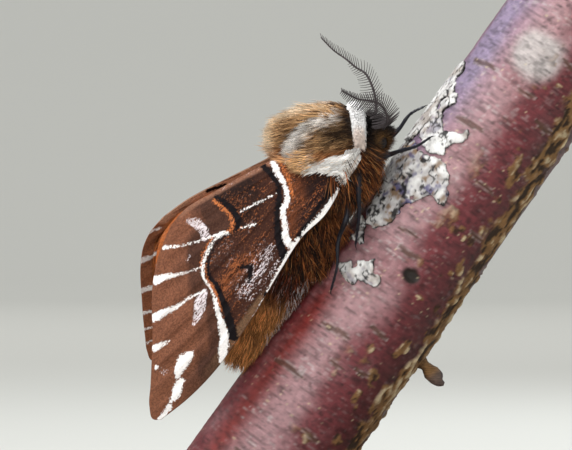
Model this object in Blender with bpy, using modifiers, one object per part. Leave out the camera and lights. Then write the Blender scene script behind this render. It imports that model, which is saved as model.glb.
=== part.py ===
"""A male kentish glory moth at rest on a short length of branch, which a small stand holds up.

Metres, +Z up. The origin is the middle of the base's underside, and the near side is -Y.
Places on the moth are given in its own frame, in millimetres, as (forward, up, right), from
the middle between the wing hinges. Places on a wing are given as (span, chord) from its hinge.
"""

import math
import random

import bmesh
import bpy
import numpy as np
from mathutils import Matrix, Vector

MM = 0.001
GAP = 0.3 * MM
WELD = 0.001 * MM

# Stand
BASE_LENGTH = 80 * MM
BASE_DEPTH = 56 * MM
BASE_HEIGHT = 5 * MM
BASE_CORNER = 6 * MM
BASE_EDGE = 0.8 * MM
ROD_X = -7.3 * MM
ROD_RADIUS = 2 * MM
ROD_TOP = 25 * MM
FERRULE_RADIUS = 4.5 * MM
FERRULE_RIM = 1.2 * MM
FERRULE_HEIGHT = 3 * MM

# Branch, which leans towards +X, measured along its axis from BRANCH_PLACE
BRANCH_PLACE = Vector((-11.8, 0, 20)) * MM
BRANCH_SLOPE = math.radians(55)
BRANCH_START = -7 * MM
BRANCH_END = 54 * MM
BRANCH_FOOT_RADIUS = 7.3 * MM
BRANCH_HEAD_RADIUS = 6.85 * MM
BRANCH_SIDES = 24
BRANCH_RINGS = 12
BARK_RELIEF = 0.14 * MM
SPUR_PATH = ((5.0, 15.4), (7.4, 15.4), (8.3, 15.2), (9.0, 15.0), (9.8, 14.9), (10.4, 14.9))
SPUR_RADII = (1.2, 0.9, 0.6, 0.95, 0.85, 0.25)
LICHEN_HEIGHT = 0.42 * MM
# Millimetres up the branch, degrees round it, half length and half width in millimetres
LICHEN = (
    (40.0, 14, 2.6, 1.5),
    (37.0, 30, 2.9, 2.2),
    (37.2, 52, 1.8, 1.5),
    (34.0, 12, 1.6, 1.5),
    (33.5, 44, 2.6, 2.3),
    (29.8, 34, 2.2, 2.0),
    (29.8, 60, 1.6, 2.0),
    (25.8, 42, 1.8, 1.3),
    (20.0, 62, 1.9, 1.3),
    (18.8, 48, 1.0, 1.0),
)

# Body
MOTH_PLACE = Vector((-4.93, -4.4, 48.57)) * MM
BODY_SLOPE = math.radians(58.5)
BODY_YAW = math.radians(12.5)
BODY_ROLL = math.radians(15)
THORAX_MIDDLE = (0.6, 2.2, 0)
THORAX_RADII = (4.2, 4.3, 3.9)
HEAD_MIDDLE = (3.9, -0.6, 0)
HEAD_RADIUS = 1.75
EYE_PLACE = (4.0, -1.4, 1.35)
EYE_RADIUS = 0.8
ABDOMEN_PATH = (
    (-3.9, 0.7, 0),
    (-5.5, 0.3, 0),
    (-8, 0.1, 0),
    (-11, 0, 0.2),
    (-14, -0.1, 0.5),
    (-17, -0.2, 0.8),
    (-19.5, -0.4, 1.1),
    (-21.2, -0.6, 1.3),
)
ABDOMEN_RADII = (1.6, 2.5, 2.9, 2.8, 2.5, 2.0, 1.5, 0.8)

# Coat. A row is: degrees from the core's front, locks, half of the arc that they fill in
# degrees, length and width in millimetres, and the angle that they rise by in degrees
BACK_ROWS = (
    (14, 5, 140, 2.4, 2.0, 58),
    (44, 8, 118, 3.4, 2.2, 40),
    (66, 10, 112, 4.2, 2.2, 40),
    (88, 7, 66, 4.3, 2.2, 40),
    (110, 5, 40, 4.0, 2.0, 40),
    (134, 3, 36, 3.8, 2.0, 30),
)
COLLAR_ROW = (30, 11, 115, 1.8, 1.6, 75)
CHEST_ROWS = ((62, 4, 42, 3.1, 1.9, 30), (90, 5, 56, 3.1, 1.9, 30), (120, 4, 50, 3.1, 1.9, 30))
FACE_ROWS = ((24, 5, 150, 1.5, 1.0, 50), (58, 7, 100, 1.5, 1.0, 50), (95, 5, 60, 1.5, 1.0, 50))
ABDOMEN_ROWS = 6
ABDOMEN_LOCKS = 8
ABDOMEN_LOCK = (3.2, 3.9, 2.3, 24)
ABDOMEN_COAT = 1.5
LOCK_SHARES = (0, 0.35, 0.7)
LOCK_WIDTHS = (0.75, 1.0, 0.75)
LOCK_DEPTHS = (1.0, 1.0, 0.7)
LOCK_DEPTH = 0.7 * MM
LOCK_SINK = 0.7 * MM
FACE_SINK = 0.5 * MM
HEAD_HAIR = 1.25
COLLAR_REACH = 2.1

# Antennae
ANTENNA_RADIUS = 0.28
ANTENNA_ROUTES = {
    "right": (
        (4.4, 0.4, 0.7),
        (5.4, -0.7, 1.2),
        (6.4, -1.4, 1.9),
        (7.3, -1.5, 2.6),
        (7.9, -0.9, 3.1),
        (8.3, 0.1, 3.5),
        (8.5, 1.1, 3.8),
        (8.4, 2.2, 4.1),
        (8.2, 3.2, 4.4),
        (7.9, 4.4, 4.7),
        (7.6, 5.7, 5.0),
    ),
    "left": (
        (4.4, 0.4, -0.7),
        (5.3, -0.4, -1.2),
        (6.2, -0.2, -1.8),
        (7.3, 0.5, -2.4),
        (8.2, 1.5, -2.8),
        (8.7, 2.4, -3.1),
        (8.7, 3.4, -3.4),
        (8.9, 4.7, -3.7),
        (9.0, 6.1, -4.0),
        (9.5, 8.0, -4.3),
    ),
}
# The way that each of an antenna's two rows of rami points, and its longest ramus
RAMI_ROWS = {
    "right": (((-0.85, 0.2, 0.1), 3.8), ((-0.2, 0.1, 0.95), 3.4)),
    "left": (((0.65, -0.25, 0.7), 2.8), ((-0.55, 0.2, -0.8), 2.8)),
}
RAMI = 10
RAMUS_WIDTH = 0.5 * MM
RAMUS_LEAST = 0.8 * MM
RAMUS_SINK = 0.12 * MM

# Legs: the places of the joints from the body out, then the foot as millimetres up the branch
# and degrees round it
LEG_RADII = (0.45, 0.42, 0.28, 0.25)
LEG_STEPS = 12
FOOT_HEIGHT = 0.62
LEGS = {
    "foreleg_right": (
        ((2.6, -0.6, 2.2), (3.0, -1.6, 3.6), (3.7, -2.4, 3.2), (4.6, -3.5, 2.6), (5.5, -4.7, 2.0)),
        (34.6, 46),
    ),
    "midleg_right": (
        ((0.8, -0.8, 2.4), (0.6, -0.6, 4.4), (-0.8, -1.4, 4.9), (-3.0, -2.8, 4.5)),
        (21.3, 47),
    ),
    "hindleg_right": (
        ((-1.4, -0.4, 2.2), (-3.2, -1.6, 4.4), (-6.3, -2.2, 5.2), (-8.4, -3.3, 5.6)),
        (16.1, 53),
    ),
    "foreleg_left": (
        ((2.6, -0.6, -2.2), (3.2, -2.6, -2.8), (5.0, -3.7, -3.2), (6.8, -3.9, -3.4)),
        (37.0, -6),
    ),
    "midleg_left": (
        ((0.8, -0.8, -2.4), (0.6, -1.4, -4.4), (-0.8, -2.4, -5.2), (-3.0, -3.6, -5.0)),
        (21.5, -24),
    ),
    "hindleg_left": (
        ((-1.4, -0.4, -2.2), (-3.4, -1.4, -4.6), (-6.3, -2.0, -5.0), (-8.6, -2.8, -4.8)),
        (15.6, -24),
    ),
}

# Wings. Both sides share the hinge and the tornus, and the far wing is a little more open
HINGE = (-0.15, 1.63, 4.2)
TORNUS = (-14.0, 13.4, 1.4)
APEX = {"right": (-29.6, 5.5, 10.6), "left": (-30.0, 4.6, 9.1)}
WING_CAMBER = 0.9
CAMBER_CHORD = 3.5
CAMBER_REACH = 7.0
ROOT_DROOP = 1.3
WING_THICKNESS = 0.5 * MM
VEIN_THICKNESS = 0.85 * MM
VEIN_FOOT = 0.018
HIND_DEPTH = 1.0
FOREWING = {
    "costa": (
        (-0.3, -0.7),
        (1.6, -1.4),
        (4.3, -1.75),
        (7.2, -1.25),
        (11.2, -1.4),
        (16, -1.8),
        (20, -1.95),
        (23.5, -1.85),
        (27, -1.3),
        (30.3, -0.35),
    ),
    "inner": ((0.1, 2.4), (1.6, 4.9), (4.7, 6.85), (8.6, 8.9), (11.9, 10.5), (13.9, 10.75)),
    "termen": (
        (30.3, -0.35),
        (30.75, 0.3),
        (29.9, 1.4),
        (28.2, 2.5),
        (24.25, 5.2),
        (19.6, 8.7),
        (17.5, 9.75),
        (15.6, 10.35),
        (13.9, 10.75),
    ),
    "veins": (0.07, 0.17, 0.27, 0.37, 0.50, 0.66, 0.85),
    "rows": 9,
    "height": 0.0,
}
HINDWING = {
    "costa": ((1.6, 1.2), (5, 0.9), (10, 0.6), (14.5, 1.0), (18.5, 2.4)),
    "inner": ((1.4, 3.0), (3.0, 5.2), (6.5, 7.8), (9.8, 9.9), (12.6, 11.1)),
    "termen": ((18.5, 2.4), (20.2, 4.0), (20.5, 6.2), (19.4, 8.4), (17.6, 10.2), (15.2, 11.2), (12.6, 11.1)),
    "veins": (0.30, 0.60),
    "rows": 10,
    "height": -HIND_DEPTH,
}
# The far wings are held turned a little in their plane, with the rim further out at the tornus
FAR_FOREWING = FOREWING | {
    "costa": (
        (-0.3, -0.7),
        (1.6, -1.5),
        (4.3, -1.95),
        (7.2, -1.6),
        (11.2, -1.9),
        (16, -2.4),
        (20, -2.7),
        (23.5, -2.65),
        (27, -2.3),
        (30.4, -1.6),
    ),
    "inner": ((0.1, 2.2), (1.9, 3.1), (4.4, 4.5), (8.1, 7.2), (11.9, 10.15), (14.3, 11.3)),
    "termen": (
        (30.4, -1.6),
        (30.85, -0.9),
        (30.2, 0.15),
        (28.6, 1.7),
        (24.7, 5.3),
        (20.3, 9.25),
        (18.3, 10.65),
        (16.4, 11.35),
        (14.3, 11.3),
    ),
}
FAR_HINDWING = HINDWING | {
    "inner": ((1.4, 2.4), (3.0, 3.4), (6.5, 5.8), (9.8, 8.3), (12.6, 10.2)),
    "termen": ((18.5, 1.9), (20.3, 3.3), (20.9, 5.5), (20.0, 7.9), (18.1, 9.7), (15.4, 10.6), (12.6, 10.2)),
    "costa": ((1.6, 1.2), (5, 0.8), (10, 0.4), (14.5, 0.6), (18.5, 1.9)),
}
PLANS = {"right": (FOREWING, HINDWING), "left": (FAR_FOREWING, FAR_HINDWING)}
CUTTER_CELLS = 6

# Colours of the materials, linear
SCALE_BROWN = (0.09, 0.035, 0.018)
FUR_TAN = (0.35, 0.20, 0.09)
FUR_RUST = (0.16, 0.05, 0.02)
LEG_BLACK = (0.012, 0.011, 0.016)
BARK_RED = (0.20, 0.06, 0.07)
WALNUT = (0.08, 0.035, 0.018)
BRASS = (0.60, 0.42, 0.16)


def clear_scene():
    for obj in list(bpy.data.objects):
        bpy.data.objects.remove(obj, do_unlink=True)


def new_collection(name):
    collection = bpy.data.collections.new(name)
    bpy.context.scene.collection.children.link(collection)
    return collection


clear_scene()
PARTS = new_collection("kentish_glory_moth")
CUTTERS = new_collection("cutters")


def material(name, colour, roughness, metallic=0.0):
    made = bpy.data.materials.new(name)
    made.use_nodes = True
    shader = made.node_tree.nodes["Principled BSDF"]
    shader.inputs["Base Color"].default_value = (*colour, 1)
    shader.inputs["Roughness"].default_value = roughness
    shader.inputs["Metallic"].default_value = metallic
    return made


def frame_of(middle, forward, left, up):
    turned = Matrix((forward, left, up)).transposed()
    return Matrix.Translation(middle) @ turned.to_4x4()


def moth_frame():
    """X runs forward, Y to the moth's left and Z up from its back."""
    level = Vector((math.cos(BODY_SLOPE), 0, math.sin(BODY_SLOPE))) * math.cos(BODY_YAW)
    forward = level - Vector((0, math.sin(BODY_YAW), 0))
    back = Vector((-math.sin(BODY_SLOPE), 0, math.cos(BODY_SLOPE)))
    up = back * math.cos(BODY_ROLL) + forward.cross(back) * math.sin(BODY_ROLL)
    return frame_of(MOTH_PLACE, forward, up.cross(forward), up)


def branch_frame():
    """Z runs up the branch, and X out of its side that leans over the base."""
    along = Vector((math.cos(BRANCH_SLOPE), 0, math.sin(BRANCH_SLOPE)))
    across = Vector((math.sin(BRANCH_SLOPE), 0, -math.cos(BRANCH_SLOPE)))
    return frame_of(BRANCH_PLACE, across, along.cross(across), along)


MOTH = moth_frame()
BRANCH = branch_frame()


def at(forward, up, right=0.0):
    """A place in the moth's frame."""
    return Vector((forward, -right, up)) * MM


def branch_radius(along):
    share = (along - BRANCH_START) / (BRANCH_END - BRANCH_START)
    return BRANCH_FOOT_RADIUS + (BRANCH_HEAD_RADIUS - BRANCH_FOOT_RADIUS) * share


def foot_place(along, angle):
    """Where a foot rests over the bark, in the moth's frame. Angle 0 faces the moth's side of
    the branch, and 90 is the near side."""
    turn = math.radians(180 + angle)
    reach = branch_radius(along * MM) + FOOT_HEIGHT * MM
    place = Vector((math.cos(turn) * reach, math.sin(turn) * reach, along * MM))
    return MOTH.inverted() @ (BRANCH @ place)


def curve_through(points):
    """A smooth curve through the points, as a function of the share of its length."""
    points = np.array(points, float)
    steps = np.linalg.norm(np.diff(points, axis=0), axis=1)
    knots = np.concatenate([[0], np.cumsum(steps)]) / steps.sum()
    slopes = np.gradient(points, knots, axis=0)

    def place(share):
        k = int(np.clip(np.searchsorted(knots, share, side="right") - 1, 0, len(steps) - 1))
        span = knots[k + 1] - knots[k]
        t = (share - knots[k]) / span
        start = (2 * t**3 - 3 * t**2 + 1) * points[k] + (t**3 - 2 * t**2 + t) * span * slopes[k]
        end = (3 * t**2 - 2 * t**3) * points[k + 1] + (t**3 - t**2) * span * slopes[k + 1]
        return start + end

    return place


def spread(values, share):
    """The value at this share of a list of evenly spaced values."""
    return float(np.interp(share, np.linspace(0, 1, len(values)), values))


def add_object(name, mesh, collection, parent=None, look=None):
    obj = bpy.data.objects.new(name, mesh)
    collection.objects.link(obj)
    obj.parent = parent
    if look:
        mesh.materials.append(look)
    return obj


def mesh_from(bm, name):
    bmesh.ops.recalc_face_normals(bm, faces=bm.faces)
    mesh = bpy.data.meshes.new(name)
    bm.to_mesh(mesh)
    bm.free()
    mesh.shade_smooth()
    return mesh


def as_mesh(obj, name):
    """The object's evaluated shape as a mesh of its own, with a curve's caps welded on."""
    graph = bpy.context.evaluated_depsgraph_get()
    evaluated = bpy.data.meshes.new_from_object(obj.evaluated_get(graph))
    bm = bmesh.new()
    bm.from_mesh(evaluated)
    bpy.data.meshes.remove(evaluated)
    bmesh.ops.remove_doubles(bm, verts=bm.verts, dist=WELD)
    return mesh_from(bm, name)


def tube(name, places, radii, sides):
    """A tapering tube with closed ends, as a mesh."""
    data = bpy.data.curves.new(name, "CURVE")
    data.dimensions = "3D"
    data.bevel_depth = 1.0
    data.bevel_resolution = sides // 2 - 2
    data.use_fill_caps = True
    spline = data.splines.new("POLY")
    spline.points.add(len(places) - 1)
    for point, place, radius in zip(spline.points, places, radii):
        point.co = (*place, 1)
        point.radius = radius
    guide = add_object(name, data, CUTTERS)
    bpy.context.view_layer.update()
    mesh = as_mesh(guide, name)
    bpy.data.objects.remove(guide, do_unlink=True)
    bpy.data.curves.remove(data)
    return mesh


def ball(name, place, radii, detail=3):
    """An ellipsoid in the moth's frame, with radii forward, up and right."""
    bm = bmesh.new()
    bmesh.ops.create_icosphere(bm, subdivisions=detail, radius=1)
    size = Matrix.Diagonal((radii[0] * MM, radii[2] * MM, radii[1] * MM, 1))
    bm.transform(Matrix.Translation(at(*place)) @ size)
    return mesh_from(bm, name)


def keep_largest(mesh):
    """Drops every closed surface of the mesh but the one with the most points."""
    bm = bmesh.new()
    bm.from_mesh(mesh)
    left = set(bm.verts)
    shells = []
    while left:
        shell = {left.pop()}
        edge = list(shell)
        while edge:
            near = {e.other_vert(v) for v in edge for e in v.link_edges} - shell
            shell |= near
            edge = list(near)
        left -= shell
        shells.append(shell)
    shells.sort(key=len, reverse=True)
    for shell in shells[1:]:
        bmesh.ops.delete(bm, geom=list(shell), context="VERTS")
    bm.to_mesh(mesh)
    bm.free()


def apply_boolean(obj, operation, other):
    """Joins the object with a collection, or cuts a cutter from it, and keeps the result."""
    modifier = obj.modifiers.new(operation.lower(), "BOOLEAN")
    modifier.operation = operation
    modifier.solver = "EXACT"
    if isinstance(other, bpy.types.Collection):
        modifier.operand_type = "COLLECTION"
        modifier.collection = other
    else:
        modifier.object = other
    bpy.context.view_layer.update()
    graph = bpy.context.evaluated_depsgraph_get()
    result = bpy.data.meshes.new_from_object(obj.evaluated_get(graph))
    obj.modifiers.remove(modifier)
    old = obj.data
    obj.data = result
    bpy.data.meshes.remove(old)
    result.name = obj.name
    keep_largest(result)


def fuse(obj, pieces):
    """Joins the meshes to the object by one Boolean union, which is applied."""
    joined = new_collection("pieces of " + obj.name)
    for number, mesh in enumerate(pieces):
        piece = add_object(f"{obj.name} piece {number}", mesh, joined, obj.parent)
        piece.hide_render = True
    apply_boolean(obj, "UNION", joined)
    for piece in list(joined.objects):
        bpy.data.objects.remove(piece, do_unlink=True)
    bpy.data.collections.remove(joined)


def cut(obj, cutters):
    for cutter in cutters:
        apply_boolean(obj, "DIFFERENCE", cutter)


def add_cutter(name, mesh, parent):
    cutter = add_object(name, mesh, CUTTERS, parent)
    cutter.display_type = "WIRE"
    cutter.hide_render = True
    return cutter


def move_to(obj, collection):
    for old in list(obj.users_collection):
        old.objects.unlink(obj)
    collection.objects.link(obj)


def add_base(look):
    bpy.ops.mesh.primitive_cube_add(size=1, location=(0, 0, BASE_HEIGHT / 2))
    base = bpy.context.object
    base.name = base.data.name = "stand_base"
    base.scale = (BASE_LENGTH, BASE_DEPTH, BASE_HEIGHT)
    bpy.ops.object.transform_apply(location=False, scale=True)
    move_to(base, PARTS)
    base.data.materials.append(look)
    corners = base.modifiers.new("corners", "BEVEL")
    corners.width = BASE_CORNER
    corners.segments = 4
    corners.limit_method = "WEIGHT"
    weights = base.data.attributes.new("bevel_weight_edge", "FLOAT", "EDGE")
    for edge in base.data.edges:
        low, high = (base.data.vertices[v].co.z for v in edge.vertices)
        weights.data[edge.index].value = float(abs(high - low) > BASE_HEIGHT / 2)
    rim = base.modifiers.new("rim", "BEVEL")
    rim.width = BASE_EDGE
    rim.segments = 2
    rim.limit_method = "ANGLE"
    rim.angle_limit = math.radians(60)


def add_rod(look, cutter):
    """A turned rod that stands on the base in a ferrule, with its top cut to the branch."""
    foot = BASE_HEIGHT + GAP
    neck = foot + FERRULE_HEIGHT
    profile = (
        (0, foot),
        (FERRULE_RADIUS, foot),
        (FERRULE_RADIUS, foot + FERRULE_RIM),
        (ROD_RADIUS + 0.8 * MM, neck),
        (ROD_RADIUS, neck),
        (ROD_RADIUS, ROD_TOP),
        (0, ROD_TOP),
    )
    bm = bmesh.new()
    verts = [bm.verts.new((radius, 0, height)) for radius, height in profile]
    edges = [bm.edges.new(pair) for pair in zip(verts, verts[1:])]
    turn = {"cent": (0, 0, 0), "axis": (0, 0, 1), "angle": 2 * math.pi, "steps": 24}
    bmesh.ops.spin(bm, geom=verts + edges, **turn)
    bmesh.ops.remove_doubles(bm, verts=bm.verts, dist=WELD)
    rod = add_object("stand_rod", mesh_from(bm, "stand_rod"), PARTS, None, look)
    rod.location.x = ROD_X
    cut(rod, [cutter])


def bark_height(along, turn):
    """How far the bark stands out or in, from its place up the branch and around it."""
    wave = math.sin(3 * turn + along / (4 * MM)) + 0.6 * math.sin(5 * turn - along / (2.6 * MM))
    return BARK_RELIEF * wave / 1.6


def branch_mesh(name, clearance=0.0):
    """The branch as a grid rolled up along Z, with closed ends. With clearance it is a plain
    cutter that stays this far from the bark."""
    rings = 8 if clearance else BRANCH_RINGS
    bm = bmesh.new()
    bmesh.ops.create_grid(bm, x_segments=BRANCH_SIDES, y_segments=rings, size=1)
    for vert in bm.verts:
        turn = math.pi * vert.co.x
        along = BRANCH_START + (BRANCH_END - BRANCH_START) * (vert.co.y + 1) / 2
        reach = branch_radius(along)
        reach += clearance if clearance else bark_height(along, turn)
        along += clearance * vert.co.y
        vert.co = (math.cos(turn) * reach, math.sin(turn) * reach, along)
    bmesh.ops.remove_doubles(bm, verts=bm.verts, dist=WELD)
    bmesh.ops.holes_fill(bm, edges=[edge for edge in bm.edges if edge.is_boundary], sides=0)
    return mesh_from(bm, name)


def lichen_plate(along, angle, length, width):
    """A thin plate with a wavy edge that lies on the bark."""
    bm = bmesh.new()
    bmesh.ops.create_icosphere(bm, subdivisions=2, radius=1)
    turn = math.radians(180 + angle)
    radius = branch_radius(along * MM)
    for vert in bm.verts:
        edge = 1 + 0.12 * math.sin(3 * math.atan2(vert.co.y, vert.co.z) + along)
        reach = radius + vert.co.x * LICHEN_HEIGHT
        aim = turn + vert.co.y * width * edge * MM / radius
        up = (along + vert.co.z * length * edge) * MM
        vert.co = (math.cos(aim) * reach, math.sin(aim) * reach, up)
    return mesh_from(bm, "lichen")


def add_branch(holder, look):
    branch = add_object("perch_branch", branch_mesh("perch_branch"), PARTS, holder, look)
    places = [Vector((out, 0, along)) * MM for out, along in SPUR_PATH]
    spur = tube("spur", places, [radius * MM for radius in SPUR_RADII], 12)
    fuse(branch, [spur] + [lichen_plate(*plate) for plate in LICHEN])


class Wings:
    """The plane and camber that a side's forewing and hindwing share."""

    def __init__(self, side):
        self.side = side
        self.sign = 1 if side == "right" else -1
        self.hinge = Vector(HINGE)
        self.span = (Vector(APEX[side]) - self.hinge).normalized()
        tornus = Vector(TORNUS) - self.hinge
        self.chord = (tornus - self.span * tornus.dot(self.span)).normalized()
        self.outward = self.span.cross(self.chord)
        if self.outward.z < 0:
            self.outward.negate()

    def place(self, span, chord, height):
        """A place this far along the span and the chord, and over the wing's middle surface."""
        belly = WING_CAMBER * (1 - ((chord - CAMBER_CHORD) / CAMBER_REACH) ** 2)
        droop = ROOT_DROOP * max(0, 1 - span / 7) ** 2 * max(0, 1 - (chord + 1.5) / 5)
        spot = self.hinge + self.span * span + self.chord * chord
        spot += self.outward * (belly - droop + height)
        return at(spot.x, spot.y, spot.z * self.sign)


def wing_columns(plan):
    """The grid's columns from costa to inner margin, with three for each vein."""
    columns = {0.0, 1.0}
    for vein in plan["veins"]:
        columns |= {vein - VEIN_FOOT, vein, vein + VEIN_FOOT}
    return sorted(columns)


def wing_sheet(name, wings, plan, columns, rows, grow=0.0):
    """The wing's middle surface: a grid whose edges follow the outline, grown by this much, and
    whose columns run from root to rim."""
    costa, inner, termen = (curve_through(plan[edge]) for edge in ("costa", "inner", "termen"))
    bm = bmesh.new()
    bmesh.ops.create_grid(bm, x_segments=len(columns) - 1, y_segments=rows, size=1)
    for vert in bm.verts:
        across = columns[round((vert.co.x + 1) / 2 * (len(columns) - 1))]
        out = (vert.co.y + 1) / 2
        sides = (1 - across) * costa(out) + across * inner(out)
        root = (1 - across) * costa(0) + across * inner(0)
        rim = (1 - across) * costa(1) + across * inner(1)
        span, chord = sides + out * (termen(across) - rim)
        if grow:
            span += grow * (2 * out - 1)
            chord += grow * (2 * across - 1)
        vert.co = wings.place(span, chord, plan["height"])
    bmesh.ops.triangulate(bm, faces=bm.faces[:])
    mesh = bpy.data.meshes.new(name)
    bm.to_mesh(mesh)
    bm.free()
    return mesh


def thicken(obj, thickness):
    shell = obj.modifiers.new("thickness", "SOLIDIFY")
    shell.thickness = thickness
    shell.offset = 0
    return shell


def add_wing(wings, plan, name, holder, look):
    """A thin wing whose main veins stand out as ridges on both faces."""
    columns = wing_columns(plan)
    mesh = wing_sheet(name, wings, plan, columns, plan["rows"])
    wing = add_object(name, mesh, PARTS, holder, look)
    veins = wing.vertex_groups.new(name="veins")
    ridges = [k for k, column in enumerate(columns) if column in plan["veins"]]
    inside = range(1, plan["rows"])
    veins.add([row * len(columns) + k for row in inside for k in ridges], 1.0, "REPLACE")
    shell = thicken(wing, VEIN_THICKNESS)
    shell.vertex_group = "veins"
    shell.thickness_vertex_group = WING_THICKNESS / VEIN_THICKNESS


def wing_cutter(wings, plan, name, holder):
    """The wing and the gap round it, as a solid."""
    columns = [k / CUTTER_CELLS for k in range(CUTTER_CELLS + 1)]
    mesh = wing_sheet(name, wings, plan, columns, CUTTER_CELLS, GAP / MM)
    slab = add_object(name, mesh, CUTTERS, holder)
    thicken(slab, VEIN_THICKNESS + 2 * GAP)
    bpy.context.view_layer.update()
    solid = as_mesh(slab, name)
    bpy.data.objects.remove(slab, do_unlink=True)
    return add_cutter(name, solid, holder)


def spike(shares, widths, depths):
    """A flat spike of unit length along +Z, with a ring of four points at each share of it."""
    bm = bmesh.new()
    middle = Matrix.Translation((0, 0, 0.5))
    bmesh.ops.create_cone(bm, cap_ends=True, segments=4, radius1=1, radius2=0, depth=1, matrix=middle)
    for share in shares[1:]:
        whole = bm.verts[:] + bm.edges[:] + bm.faces[:]
        bmesh.ops.bisect_plane(bm, geom=whole, plane_co=(0, 0, share), plane_no=(0, 0, 1))
    for vert in bm.verts:
        if vert.co.z < 0.999:
            taper = 1 - vert.co.z
            vert.co.x *= float(np.interp(vert.co.z, shares, widths)) / taper
            vert.co.y *= float(np.interp(vert.co.z, shares, depths)) / taper
    return mesh_from(bm, "spike")


def bent_spike(form, root, lie, out, size, lift, sink, dice):
    """A copy of a spike, rooted below the surface, that rises by lift and bends back to the lie.
    Size is its length, width and depth, and it leans a little to one side, as real locks do."""
    length, width, depth = size
    lie = Matrix.Rotation(math.radians(dice.uniform(-9, 9)), 3, out) @ lie
    out = Matrix.Rotation(math.radians(dice.uniform(-8, 8)), 3, lie) @ out
    lift += math.radians(dice.uniform(-4, 4))
    across = lie.cross(out).normalized()
    made = form.copy()
    for vert in made.vertices:
        share = vert.co.z
        run = share * length - sink * (1 - share)
        rise = math.sin(lift) * run * (1 - 0.45 * share)
        middle = root + lie * (math.cos(lift) * run) + out * rise
        vert.co = middle + across * (vert.co.x * width / 2) + out * (vert.co.y * depth / 2)
    return made


def on_core(middle, radii, polar, around):
    """A place on a core, its outward direction and the direction towards the tail along it.
    Polar is measured from the core's front, around from its back towards the moth's right."""
    ring = Vector((math.sin(polar) * math.cos(around), math.sin(polar) * math.sin(around)))
    unit = (math.cos(polar), ring.x, ring.y)
    slope = (-math.sin(polar), math.cos(polar) * math.cos(around), math.cos(polar) * math.sin(around))
    place = [m + r * u for m, r, u in zip(middle, radii, unit)]
    out = [u / r for r, u in zip(radii, unit)]
    back = [r * s for r, s in zip(radii, slope)]
    return at(*place), at(*out).normalized(), at(*back).normalized()


def row_of_locks(form, middle, radii, row, number, dice, below=False, forward=False):
    """One ring of locks round a core, centred on its back or its underside."""
    polar, count, arc, length, width, lift = row
    locks = []
    for k in range(count):
        share = (k + 0.25 + 0.5 * (number % 2)) / count * 2 - 1
        around = math.radians(arc * share + dice.uniform(-3, 3) + (180 if below else 0))
        tilt = math.radians(polar + dice.uniform(-3, 3))
        root, out, back = on_core(middle, radii, tilt, around)
        scale = dice.uniform(0.9, 1.1) * MM
        size = (length * scale, width * scale, LOCK_DEPTH)
        sink = FACE_SINK if forward else LOCK_SINK
        lie = -back if forward else back
        locks.append(bent_spike(form, root, lie, out, size, math.radians(lift), sink, dice))
    return locks


def lock_form():
    return spike(LOCK_SHARES, LOCK_WIDTHS, LOCK_DEPTHS)


def add_thorax(holder, look, cutters):
    mesh = ball("thorax", THORAX_MIDDLE, THORAX_RADII)
    thorax = add_object("thorax", mesh, PARTS, holder, look)
    form = lock_form()
    dice = random.Random(4)
    core = (THORAX_MIDDLE, THORAX_RADII)
    locks = row_of_locks(form, *core, COLLAR_ROW, 1, dice)
    for number, row in enumerate(BACK_ROWS):
        locks += row_of_locks(form, *core, row, number, dice)
    for number, row in enumerate(CHEST_ROWS):
        locks += row_of_locks(form, *core, row, number, dice, below=True)
    fuse(thorax, locks)
    cut(thorax, cutters)


def add_head(holder, look, cutters):
    radii = (HEAD_RADIUS, HEAD_RADIUS, HEAD_RADIUS)
    head = add_object("head", ball("head", HEAD_MIDDLE, radii), PARTS, holder, look)
    form = lock_form()
    dice = random.Random(2)
    locks = []
    for number, row in enumerate(FACE_ROWS):
        locks += row_of_locks(form, HEAD_MIDDLE, radii, row, number, dice, below=True, forward=True)
    fuse(head, locks)
    cut(head, cutters)


def abdomen_tube(name, steps, coat=0.0):
    """The abdomen's core, or with a coat the room that its locks fill."""
    path = curve_through(ABDOMEN_PATH)
    places = [at(*path(k / steps)) for k in range(steps + 1)]
    radii = [(spread(ABDOMEN_RADII, k / steps) + coat) * MM for k in range(steps + 1)]
    if coat:
        places[0] += at(1.2 * GAP / MM, 0)
    return tube(name, places, radii, 16)


def add_abdomen(holder, look, cutters):
    abdomen = add_object("abdomen", abdomen_tube("abdomen", 13), PARTS, holder, look)
    path = curve_through(ABDOMEN_PATH)
    shortest, longest, width, lift = ABDOMEN_LOCK
    form = lock_form()
    dice = random.Random(9)
    locks = []
    for row in range(ABDOMEN_ROWS):
        share = 0.16 + 0.72 * row / (ABDOMEN_ROWS - 1)
        middle = at(*path(share))
        reach = spread(ABDOMEN_RADII, share) * MM
        back = (at(*path(share + 0.02)) - at(*path(share - 0.02))).normalized()
        for k in range(ABDOMEN_LOCKS):
            turn = 2 * math.pi * (k + 0.5 * (row % 2) + dice.uniform(-0.1, 0.1)) / ABDOMEN_LOCKS
            out = Vector((0, -math.sin(turn), math.cos(turn)))
            out = (out - back * out.dot(back)).normalized()
            size = (dice.uniform(shortest, longest) * MM, width * MM, LOCK_DEPTH)
            root = middle + out * reach
            locks.append(bent_spike(form, root, back, out, size, math.radians(lift), LOCK_SINK, dice))
    fuse(abdomen, locks)
    cut(abdomen, cutters)


def free_length(start, aim, length):
    """How far a ramus reaches before it meets the hair of the head or thorax."""
    head_room = [HEAD_RADIUS + HEAD_HAIR] * 3
    thorax_room = [THORAX_RADII[k] + COLLAR_REACH for k in (0, 2, 1)]
    rooms = ((at(*HEAD_MIDDLE), head_room), (at(*THORAX_MIDDLE), thorax_room))
    step = 0.1 * MM
    reach = step
    while reach < length:
        for middle, radii in rooms:
            offset = start + aim * reach - middle
            if sum((offset[k] / (radii[k] * MM)) ** 2 for k in range(3)) < 1:
                return reach - step
        reach += step
    return length


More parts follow.
